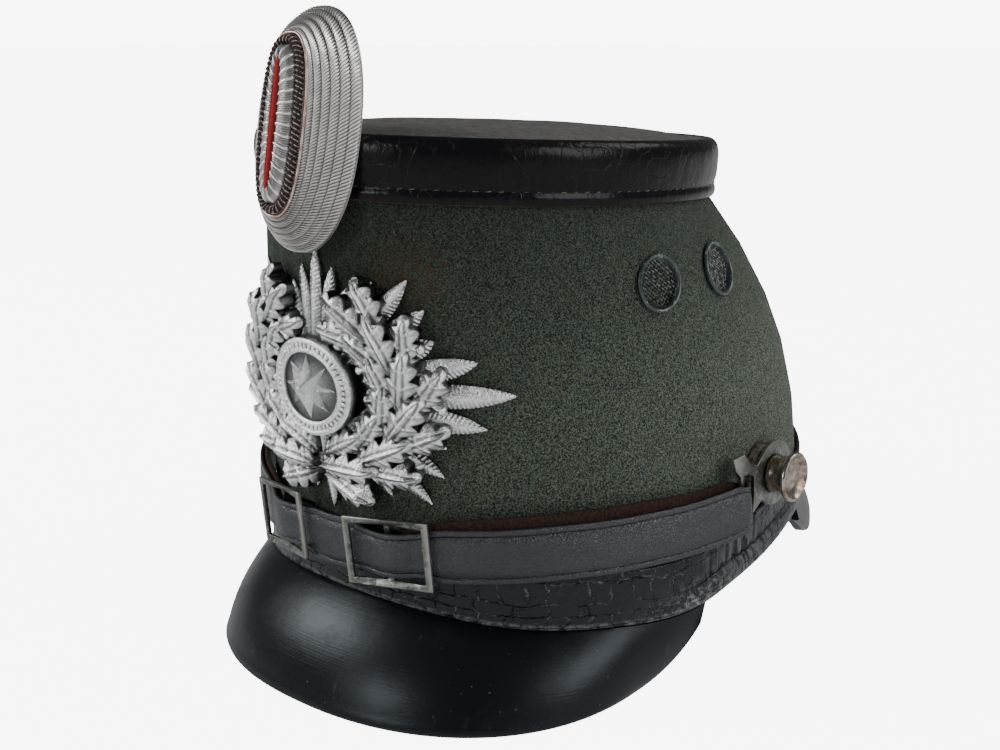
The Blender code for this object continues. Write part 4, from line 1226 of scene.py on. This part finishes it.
def casting_material():
    """Silvered casting: painted light on all that stands proud and painted shade in the hollows and undersides."""
    casting, silver = Finish("cast_silver", Metallic=1.0), look().silver_color
    tarnish = casting.noise(380.0, 5.0, 0.65)
    color = casting.mix(casting.span(tarnish, 0.35, 0.60), [part * 0.74 for part in silver], silver)
    # Painted light and shade: the stored shade, and concave spots found by pointiness, darken the silver towards
    # near-black.
    rubbed = casting.most(casting.span(casting.pointiness(), 0.43, 0.51), 0.35)
    painted_lit_share = casting.times(casting.span(casting.attribute("tone"), 0.0, 0.8, 0.06, 1.0), rubbed)
    color = casting.mix(painted_lit_share, (0.035, 0.036, 0.037), color)
    normal = casting.bump(casting.noise(1300.0, 4.0, 0.7), 0.70, 0.0004)
    return casting.done(Base_Color=color, Roughness=casting.span(tarnish, 0.3, 0.7, 0.23, 0.13), Normal=normal)


def closed_strip(name, across, along, top, low):
    """A raised strip, closed underneath and at both ends; top(side, share) gives a point and its painted light and
    shade.
    """
    ring = across + 3

    def sample(step, row):
        spot = row % ring
        if step in (0, along):
            end, _ = top(0.0, float(step > 0))
            return Vector((end.x, end.y, low)), 0.0
        share = (step - 1) / (along - 2)
        if spot <= across:
            return top(2 * spot / across - 1, share)
        edge, _ = top(1.0 if spot == across + 1 else -1.0, share)
        return Vector((edge.x, edge.y, low)), 0.0

    place, tone = (lambda step, row: sample(step, row)[0]), (lambda step, row: sample(step, row)[1])
    # The tone attribute holds the painted light and shade.
    return close_up(laid_grid(name, along, ring, place, "tone", tone))


def store_painted_shade(obj, tone):
    """Stores the painted light and shade of each spot of a cast piece."""
    store(obj, "tone", [tone(vert.co) for vert in obj.data.vertices])
    return obj


def burst_radius(angle):
    return 1.0 / math.hypot(math.sin(angle) / BURST_HALF_WIDTH, math.cos(angle) / BURST_HALF_HEIGHT)


def make_rays():
    """The plate: narrow ridged rays, cut with slanting ribs on both flanks."""
    half_turn = math.pi / RAYS * 0.98
    parts = []
    for k in range(RAYS):
        angle, reach = TAU * k / RAYS, RAY_REACHES[k % 4]

        def top(side, share):
            out = RAY_START + (reach - RAY_START) * share
            taper = 1.0 - max((out - RAY_SHOULDER) / (reach - RAY_SHOULDER), 0.0) ** 1.9
            turn = angle + half_turn * side * taper * 0.97
            radius = burst_radius(turn) * out
            ridge = 1.0 - abs(side) ** 1.2
            ribs = math.cos(TAU * (radius / RIB_PITCH - abs(side) * 1.1))
            flank = (1.0 - ridge**3) * smooth_step(radius * half_turn * taper / 0.0011)
            body = (0.0050 - 0.0038 * out / reach) * (0.30 + 0.70 * ridge) * (0.35 + 0.65 * taper)
            height = 0.0008 + body + 0.00026 * ribs * flank
            # Painted shade: darker in the troughs of the ribs and towards the ray's edges.
            tone = 1.0 - 0.55 * flank * (0.5 - 0.5 * ribs) - 0.45 * abs(side) ** 4
            return Vector((radius * math.sin(turn), BADGE_Z + radius * math.cos(turn), height)), tone

        parts.append(closed_strip(f"ray_{k}", 10, 84, top, 0.0003))
    return parts


def leaf_pattern(length, width, rise):
    """One lobed leaf with a raised midrib and a vein to each lobe; its tip stands higher than its stalk."""

    def top(side, share):
        lobe = (0.5 + 0.5 * math.cos(TAU * (share * LEAF_LOBES - 0.55))) ** 0.5
        spread = width / 2 * math.sin(math.pi * min(0.08 + 0.92 * share, 1.0)) ** 0.5 * (0.50 + 0.50 * lobe)
        hook = 0.0012 * side * side * lobe
        reach = abs(side) * (0.50 + 0.50 * lobe)
        cup = 0.0018 * math.cos(min(reach, 1.0) * 2.1) + 0.0005 * side**4 * lobe
        rib = 0.0007 * bell(reach, 0.10) - 0.0003 * bell(reach - 0.22, 0.08)
        phase = (share * LEAF_LOBES - 0.55 - 0.25 * abs(side) + 0.5) % 1.0 - 0.5
        vein = bell(phase, 0.10) * smooth_step(abs(side) * 3.0)
        droop = rise * share - 0.0016 * max(share - 0.82, 0.0) / 0.18
        height = 0.0016 + cup + rib + 0.0005 * vein + droop
        # Painted light and shade: brighter on the veins, darker at the edges, in the groove beside the midrib and
        # towards the stalk, where the next leaves lie over it.
        tone = 0.80 + 0.2 * vein - 0.75 * abs(side) ** 5 - 0.40 * bell(reach - 0.2, 0.08)
        tone -= 0.55 * smooth_step((0.45 - share) / 0.45)
        return Vector((side * spread, length * share + hook, height)), min(max(tone, 0.0), 1.0)

    return closed_strip("leaf_pattern", 18, 52, top, 0.0)


def wreath_point(turn):
    return Vector((WREATH_HALF_WIDTH * math.sin(turn), BADGE_Z - WREATH_HALF_HEIGHT * math.cos(turn), 0.0))


def make_leaves():
    """Each cluster of three leaves lies over the stalks of the next, as shingles do."""
    placed = {row: [] for row in LEAF_ROWS}
    for sign in (1, -1):
        for k in range(LEAF_CLUSTERS):
            turn = sign * WREATH_TURN * (k + 0.15) / LEAF_CLUSTERS
            here = wreath_point(turn)
            ahead = wreath_point(turn + sign * 0.05) - here
            direction = math.atan2(ahead.y, ahead.x) - math.pi / 2
            for row in LEAF_ROWS:
                swing, _, _, height, shift = row
                matrix = Matrix.Translation((here.x, here.y, height)) @ Matrix.Rotation(direction, 4, "Z")
                placed[row].append(matrix @ Matrix.Translation((-shift, 0, 0)) @ Matrix.Rotation(swing, 4, "Z"))
    return [
        copies(f"leaves_{k}", leaf_pattern(row[1], row[2], 0.0030), placed[row]) for k, row in enumerate(LEAF_ROWS)
    ]


def make_berries():
    """Berries on short stalks, standing out from both edges of the wreath."""
    steps = sizes().berry_steps
    deselect()
    bpy.ops.mesh.primitive_uv_sphere_add(segments=steps, ring_count=steps // 2 + 2, radius=BERRY_RADIUS)
    berry = named("berry_pattern")
    for vert in berry.data.vertices:
        if vert.co.y < 0:
            vert.co.y *= 1.9
            vert.co.x *= 0.55
            vert.co.z *= 0.7
    # Painted shade: each berry is darker on its back, towards the plate.
    store_painted_shade(berry, lambda spot: smooth_step(0.5 + spot.z / 0.0026))
    matrices = []
    for sign in (1, -1):
        for k in range(BERRIES):
            here = wreath_point(sign * WREATH_TURN * (k + 0.80) / BERRIES) - Vector((0, BADGE_Z, 0))
            out = math.atan2(here.y, here.x) - math.pi / 2
            for reach, size, swing in ((1.38, 1.35, -0.5 * sign), (0.66, 1.0, math.pi)):
                place = Matrix.Translation((here.x * reach, BADGE_Z + here.y * reach, 0.0052))
                matrices.append(place @ Matrix.Rotation(out + swing, 4, "Z") @ Matrix.Scale(size, 4))
    return copies("berries", berry, matrices)


def make_boss():
    boss = turned("boss", BOSS_PROFILE, Matrix.Translation((0.0, BADGE_Z, 0.0)), 72)
    # Painted shade: bright only on the raised rings, darker on the field and down the sides.
    store_painted_shade(boss, lambda spot: 0.12 + 0.88 * smooth_step((spot.z - 0.0071) / 0.0007))
    deselect()
    bpy.ops.mesh.primitive_uv_sphere_add(segments=8, ring_count=6, radius=BEAD_RADIUS)
    # Painted shade: each bead darker towards its foot.
    bead = store_painted_shade(named("bead_pattern"), lambda spot: smooth_step(0.4 + spot.z / 0.0010))
    around = []
    for k in range(BEADS):
        angle = TAU * k / BEADS
        spot = (BEAD_RING * math.sin(angle), BADGE_Z + BEAD_RING * math.cos(angle), 0.0073)
        around.append(Matrix.Translation(spot))
    return [boss, copies("beads", bead, around)]


def make_star():
    """Eight faceted points, raised from a flat disc."""
    deselect()
    bpy.ops.mesh.primitive_cone_add(
        vertices=16, radius1=STAR_TIP, radius2=0.0, depth=STAR_HEIGHT, end_fill_type="NGON"
    )
    star = named("boss_star")
    for vert in star.data.vertices:
        if vert.co.z < 0:
            turn = math.atan2(vert.co.x, vert.co.y)
            reach = STAR_TIP if round(turn / (math.pi / 8)) % 2 == 0 else STAR_NOTCH
            vert.co.x, vert.co.y = reach * math.sin(turn), reach * math.cos(turn)
    star.data.transform(Matrix.Translation((0.0, BADGE_Z, 0.0098)))
    # Painted shade: the star darker towards its foot.
    return store_painted_shade(star, lambda spot: 0.75 + 0.25 * smooth_step((spot.z - 0.0073) / 0.003))


class SHAKO_OT_badge(bpy.types.Operator):
    """Casts the rayed badge with its leaf wreath, boss and star"""

    bl_idname = "shako.badge"
    bl_label = "Badge"

    def execute(self, context):
        pick(*make_rays(), *make_leaves(), make_berries(), *make_boss(), make_star())
        bpy.ops.object.join()
        badge = named("badge_casting")
        for vert in badge.data.vertices:
            x, z, height = vert.co
            vert.co = off_wall(x / BADGE_TURN, z, height + BADGE_SEAT)
        finish_piece(shade(badge, 38), casting_material(), "cast_aluminium", "badge")
        return {"FINISHED"}


# ---------------------------------------------------------------- cockade


DISH_BANDS = 7
DISH_BAND_ROWS = 7
DISH_FOOT = ((0.30, 0.0030, 0.0), (0.0, 0.0, 0.0010), (0.0, 0.0005, 0.0))  # (share inward, height, inset)
RIB_SLANT = 2.2
PAD_THREADS = 30
PAD_ROWS = (  # (scale, rise)
    (0.0, 0.0), (1.0, 0.0), (1.0, 0.0008), (0.97, 0.0015), (0.90, 0.0022), (0.80, 0.0029), (0.66, 0.0034),
    (0.50, 0.0037), (0.36, 0.0038), (0.26, 0.0036), (0.24, 0.0030), (0.24, 0.0022), (0.0, 0.0022),
)
CORE_ROWS = ((0.0, 0.0), (1.0, 0.0), (1.0, 0.0008), (0.82, 0.0013), (0.45, 0.0016), (0.0, 0.0017))
CORE_HALF = (0.0010, 0.0179)


def on_cockade(point):
    """Lays a point of the cockade's own plane on the leaning front of the hat."""
    matrix = Matrix.Rotation(math.pi / 2 - COCKADE_LEAN, 4, "X")
    matrix.translation = COCKADE_CENTRE
    return matrix @ point


def oval_point(half_width, half_height, angle, power=2.25):
    x = half_width * signed_power(math.sin(angle), 2 / power)
    y = half_height * signed_power(math.cos(angle), 2 / power)
    return Vector((x, y, 0.0))


def even_turns(half_width, half_height, count, power=2.25):
    """Angles that divide an oval into equal lengths, and its whole length."""
    fine = 2400
    points = [oval_point(half_width, half_height, TAU * k / fine, power) for k in range(fine + 1)]
    lengths = [0.0]
    for first, second in zip(points, points[1:]):
        lengths.append(lengths[-1] + (second - first).length)
    total, turns, k = lengths[-1], [], 0
    for step in range(count + 1):
        target = total * step / count
        while k < fine - 1 and lengths[k + 1] < target:
            k += 1
        span = max(lengths[k + 1] - lengths[k], 1e-12)
        turns.append(TAU * (k + min((target - lengths[k]) / span, 1.0)) / fine)
    return turns, total


def thread_silver_material():
    silver = Finish("silver_thread", Metallic=0.85)
    tone = silver.noise(420.0, 4.0, 0.6)
    color = silver.mix(silver.span(tone, 0.35, 0.65), (0.78, 0.77, 0.75), (0.98, 0.98, 0.97))
    # Painted shade darkens the silver in the grooves between ribs and threads.
    color = silver.mix(silver.attribute("painted_groove_shade"), color, (0.08, 0.066, 0.06))
    return silver.done(Base_Color=color, Roughness=silver.span(tone, 0.3, 0.7, 0.42, 0.28))


def cord_material():
    cord = Finish("twisted_cord", Roughness=0.85)
    fuzz = cord.noise(1600.0, 2.0)
    level = cord.maths("ADD", cord.attribute("strand"), cord.times(cord.maths("SUBTRACT", fuzz, 0.5), 0.8))
    color = cord.mix(cord.span(level, 0.84, 1.02), (0.020, 0.008, 0.008), (0.46, 0.40, 0.36))
    return cord.done(Base_Color=color, Normal=cord.bump(fuzz, 0.4, 0.0003))


def copper_material():
    copper = Finish("copper_wire", Metallic=1.0, Roughness=0.4)
    tone = copper.span(copper.noise(350.0, 3.0), 0.4, 0.65)
    return copper.done(Base_Color=copper.mix(tone, (0.50, 0.30, 0.24), (0.72, 0.60, 0.55)))


def core_material():
    core, red = Finish("core_cloth", Roughness=0.9), look().core_color
    weave = core.noise(1500.0, 3.0, 0.7)
    color = core.mix(core.span(weave, 0.35, 0.65), [part * 0.5 for part in red], red)
    return core.done(Base_Color=color, Normal=core.bump(weave, 0.4, 0.0003))


def make_dish(material):
    """Bands of ribs step up from the rim to the inner oval; the grid turns with the ribs' slant."""
    _, length = even_turns(0.0150, 0.0290, 10)
    ribs = int(length / sizes().rib_pitch)
    columns = ribs * 5
    turns, _ = even_turns(*COCKADE_HALF, columns)
    rows = DISH_BANDS * DISH_BAND_ROWS

    def turn_at(column, share):
        """The angle of a column, shifted along the ribs' slant."""
        spot = (column + share * DISH_BANDS * RIB_SLANT * columns / ribs) % columns
        whole = int(spot)
        return turns[whole] + (turns[whole + 1] - turns[whole]) * (spot - whole)

    def hump(share):
        return math.sin(math.pi * min(share * DISH_BANDS % 1.0, 0.9999)) ** 0.6

    def place(column, row):
        if row < 3:
            share, out, inset = DISH_FOOT[row]
            angle = turn_at(column, 0.0)
        else:
            share, inset = min((row - 3) / rows, 1.0), 0.0
            rise = COCKADE_RISE * math.sin(share * 0.98 * math.pi / 2) ** 0.9
            wave = math.cos(TAU * ribs * column / columns)
            out = 0.0009 + rise + 0.00048 * hump(share) + 0.00034 * wave * hump(share)
            angle = turn_at(column, share)
        half = [a + (b - a) * share - inset for a, b in zip(COCKADE_HALF, COCKADE_INNER)]
        if row > rows + 3:
            half, out = (0.0, 0.0), COCKADE_TOP
        point = oval_point(half[0], half[1], angle)
        point.z = out
        return on_cockade(point)

    # Painted shade in the troughs between the ribs and at the steps between the bands.
    def painted_groove_shade(column, row):
        if not 3 <= row <= rows + 3:
            return 0.3
        wave = 0.5 - 0.5 * math.cos(TAU * ribs * column / columns)
        return max(0.96 * wave**1.3, 0.9 * (1.0 - hump((row - 3) / rows)))

    dish = close_up(laid_grid("cockade_dish", columns, rows + 4, place, "painted_groove_shade", painted_groove_shade), fill_ends=True)
    finish_piece(shade(dish, 60), material, "silver_thread", "cockade_shell")


def oval_rope(name, half, power, out, radius, twists, bulge, columns, sides):
    """A closed rope round an oval, its section turning as it goes."""
    turns, _ = even_turns(half[0], half[1], columns, power)

    def place(column, row):
        step = column % columns
        here = oval_point(half[0], half[1], turns[step], power)
        along = (oval_point(half[0], half[1], turns[(step + 1) % columns], power) - here).normalized()
        side = Vector((along.y, -along.x, 0.0))
        around = TAU * row / sides
        lobe = 1.0 + bulge * math.cos(2 * (around - math.pi * twists * step / columns))
        point = here + (side * math.cos(around) + Vector((0, 0, 1)) * math.sin(around)) * radius * lobe
        point.z += out
        return on_cockade(point)

    def strand(column, row):
        return 0.5 + 0.5 * math.cos(2 * (TAU * row / sides - math.pi * twists * column / columns))

    return shade(close_up(laid_grid(name, columns, sides, place, "strand", strand)))


def make_pad(material):
    """The inner oval: bright cross threads, gathered at both ends, fall to the slot."""
    columns = PAD_THREADS * 16
    outer = (COCKADE_INNER[0] - 0.0014, COCKADE_INNER[1] - 0.0014)
    turns, _ = even_turns(outer[0], outer[1], columns, 3.0)

    def place(column, row):
        step = column % columns
        scale, rise = PAD_ROWS[row]
        point = Vector()
        if scale > 0.0:
            point = oval_point(outer[0] * scale, outer[1] - outer[0] * (1 - scale), turns[step], 3.0)
        phase = PAD_THREADS * step / columns
        lift = 0.00042 * bell(phase % 1.0 - 0.5, 0.09) + 0.00010 * math.cos(TAU * phase * 5.0)
        point.z = COCKADE_TOP + GAP + rise + (lift if 2 < row < 10 else 0.0)
        return on_cockade(point)

    # Painted shade on the ground between the raised cross threads and in the troughs of their fine ripples.
    def painted_groove_shade(column, row):
        phase = PAD_THREADS * column / columns
        fine = 0.5 - 0.5 * math.cos(TAU * phase * 5.0)
        return max(0.0, 0.50 + 0.25 * fine - 0.95 * bell(phase % 1.0 - 0.5, 0.12))

    pad = close_up(laid_grid("cockade_centre", columns, len(PAD_ROWS) - 1, place, "painted_groove_shade", painted_groove_shade))
    finish_piece(shade(pad, 60), material, "silver_thread", "cockade_pad")


def make_core():
    """Red cloth in the slot, rough along its edges."""

    def place(column, row):
        angle = TAU * column / 160
        rough = 1.0 + 0.12 * noise.noise(Vector((9.0 * math.sin(angle), 30.0 * math.cos(angle), 1.0)))
        scale, out = CORE_ROWS[row]
        half_width, half_height = CORE_HALF[0] * scale * min(rough, 1.0), CORE_HALF[1] * min(scale * 4.0, 1.0)
        point = oval_point(half_width, half_height, angle, 4.0)
        point.z = COCKADE_TOP + 2 * GAP + 0.0022 + out
        return on_cockade(point)

    core = close_up(laid_grid("cockade_core_cloth", 160, len(CORE_ROWS) - 1, place))
    finish_piece(shade(core, 60), core_material(), "red_cloth", "cockade_core")


class SHAKO_OT_cockade(bpy.types.Operator):
    """Builds the ribbed oval cockade, its cords and its centre"""

    bl_idname = "shako.cockade"
    bl_label = "Cockade"

    def execute(self, context):
        silver = thread_silver_material()
        make_dish(silver)
        half = COCKADE_INNER
        cord = oval_rope("cockade_twisted_cord", half, 2.8, COCKADE_TOP + GAP + 0.0011, 0.00105, 76, 0.16, 912, 12)
        finish_piece(cord, cord_material(), "dark_cord", "cockade_cord")
        wider = (half[0] + 0.0019, half[1] + 0.0019)
        wire = oval_rope("cockade_copper_line", wider, 2.6, COCKADE_TOP + 0.0005, 0.0004, 10, 0.0, 240, 8)
        finish_piece(wire, copper_material(), "worn_nickel")
        make_pad(silver)
        make_core()
        return {"FINISHED"}


# ---------------------------------------------------------------- stage


CAMERA_PLACE = Vector((0.27088, -0.35111, 0.19529))
CAMERA_AIM = Vector((-0.61933, 0.74124, -0.25883))
WHITE = (1.0, 1.0, 1.0, 1.0)
SOFTBOXES = (  # (name, width, radiance, place, aim)
    ("key_softbox", 0.72, 10.6, (-0.95, -0.80, 0.95), (0.0, -0.02, 0.08)),
    ("fill_softbox", 0.80, 5.6, (1.40, 0.10, 0.65), (0.0, 0.0, 0.08)),
    ("back_softbox", 0.80, 4.2, (0.75, 0.85, 1.10), (0.0, 0.0, 0.1)),
    ("front_softbox", 0.36, 11.0, (-0.15, -1.30, 0.50), (0.0, 0.0, 0.1)),
)


def face_along(obj, direction):
    obj.rotation_euler = direction.to_track_quat("-Z", "Y").to_euler()


def add_light(name, width, radiance, place, aim):
    """A round softbox of even brightness."""
    deselect()
    bpy.ops.object.light_add(type="AREA", location=place)
    light = bpy.context.object
    light.name = name
    light.data.shape = "DISK"
    light.data.size = width
    light.data.energy = radiance * math.pi * math.pi * width * width / 4
    face_along(light, Vector(aim) - Vector(place))


def seen_or_lit(nodes, lit, seen):
    """A strength that differs between what the camera sees and what lights the hat."""
    return nodes.span(nodes.add("LightPath").outputs["Is Camera Ray"], 0.0, 1.0, lit, seen)


class SHAKO_OT_stage(bpy.types.Operator):
    """Sets a pale floor, soft lights and the camera"""

    bl_idname = "shako.stage"
    bl_label = "Stage"

    def execute(self, context):
        deselect()
        bpy.ops.mesh.primitive_plane_add(size=60.0, location=(0.0, 0.0, 0.0))
        floor = named("stage_floor")
        paper = Finish("stage_paper", Roughness=0.9, Specular_IOR_Level=0.1, Emission_Color=WHITE)
        color = paper.mix(paper.noise(40.0, 2.0), (0.50, 0.50, 0.51), (0.52, 0.52, 0.53))
        floor.data.materials.append(paper.done(Base_Color=color, Emission_Strength=seen_or_lit(paper, 0.40, 7.3)))

        world = bpy.data.worlds.new("studio")
        world.use_nodes = True
        background = world.node_tree.nodes["Background"].inputs
        nodes = Nodes(world.node_tree)
        nodes.fill(background, {"Color": WHITE, "Strength": seen_or_lit(nodes, 0.12, 8.1)})
        context.scene.world = world

        for softbox in SOFTBOXES:
            add_light(*softbox)

        camera_data = bpy.data.cameras.new("photo_camera")
        camera = bpy.data.objects.new("photo_camera", camera_data)
        context.scene.collection.objects.link(camera)
        camera_data.lens = 45.07
        camera_data.sensor_width = 36.0
        camera_data.clip_start = 0.01
        camera.location = CAMERA_PLACE
        face_along(camera, CAMERA_AIM)
        context.scene.camera = camera
        return {"FINISHED"}


# ---------------------------------------------------------------- panel and registration


STEPS = (
    SHAKO_OT_felt,
    SHAKO_OT_crown,
    SHAKO_OT_band,
    SHAKO_OT_peaks,
    SHAKO_OT_vents,
    SHAKO_OT_strap,
    SHAKO_OT_fittings,
    SHAKO_OT_badge,
    SHAKO_OT_cockade,
    SHAKO_OT_stage,
)


class SHAKO_PT_panel(bpy.types.Panel):
    bl_idname = "SHAKO_PT_panel"
    bl_label = "Shako Hat"
    bl_space_type = "VIEW_3D"
    bl_region_type = "UI"
    bl_category = "Shako"

    def draw(self, context):
        for group in (look(), sizes()):
            column = self.layout.column()
            for name in group.bl_rna.properties.keys():
                if name not in {"rna_type", "name"}:
                    column.prop(group, name)
        for step in STEPS:
            self.layout.operator(step.bl_idname)


CLASSES = (ShakoLook, ShakoSizes, *STEPS, SHAKO_PT_panel)


def register():
    for item in CLASSES:
        bpy.utils.register_class(item)
    bpy.types.Scene.shako_look = PointerProperty(type=ShakoLook)
    bpy.types.Scene.shako_sizes = PointerProperty(type=ShakoSizes)


def unregister():
    del bpy.types.Scene.shako_sizes
    del bpy.types.Scene.shako_look
    for item in reversed(CLASSES):
        bpy.utils.unregister_class(item)


def main():
    register()
    for make_group in (make_grain_group, make_crack_group, make_scuff_group, make_fibre_group):
        make_group()
    for step in STEPS:
        group, name = step.bl_idname.split(".")
        getattr(getattr(bpy.ops, group), name)()
    deselect()


if __name__ == "__main__":
    main()
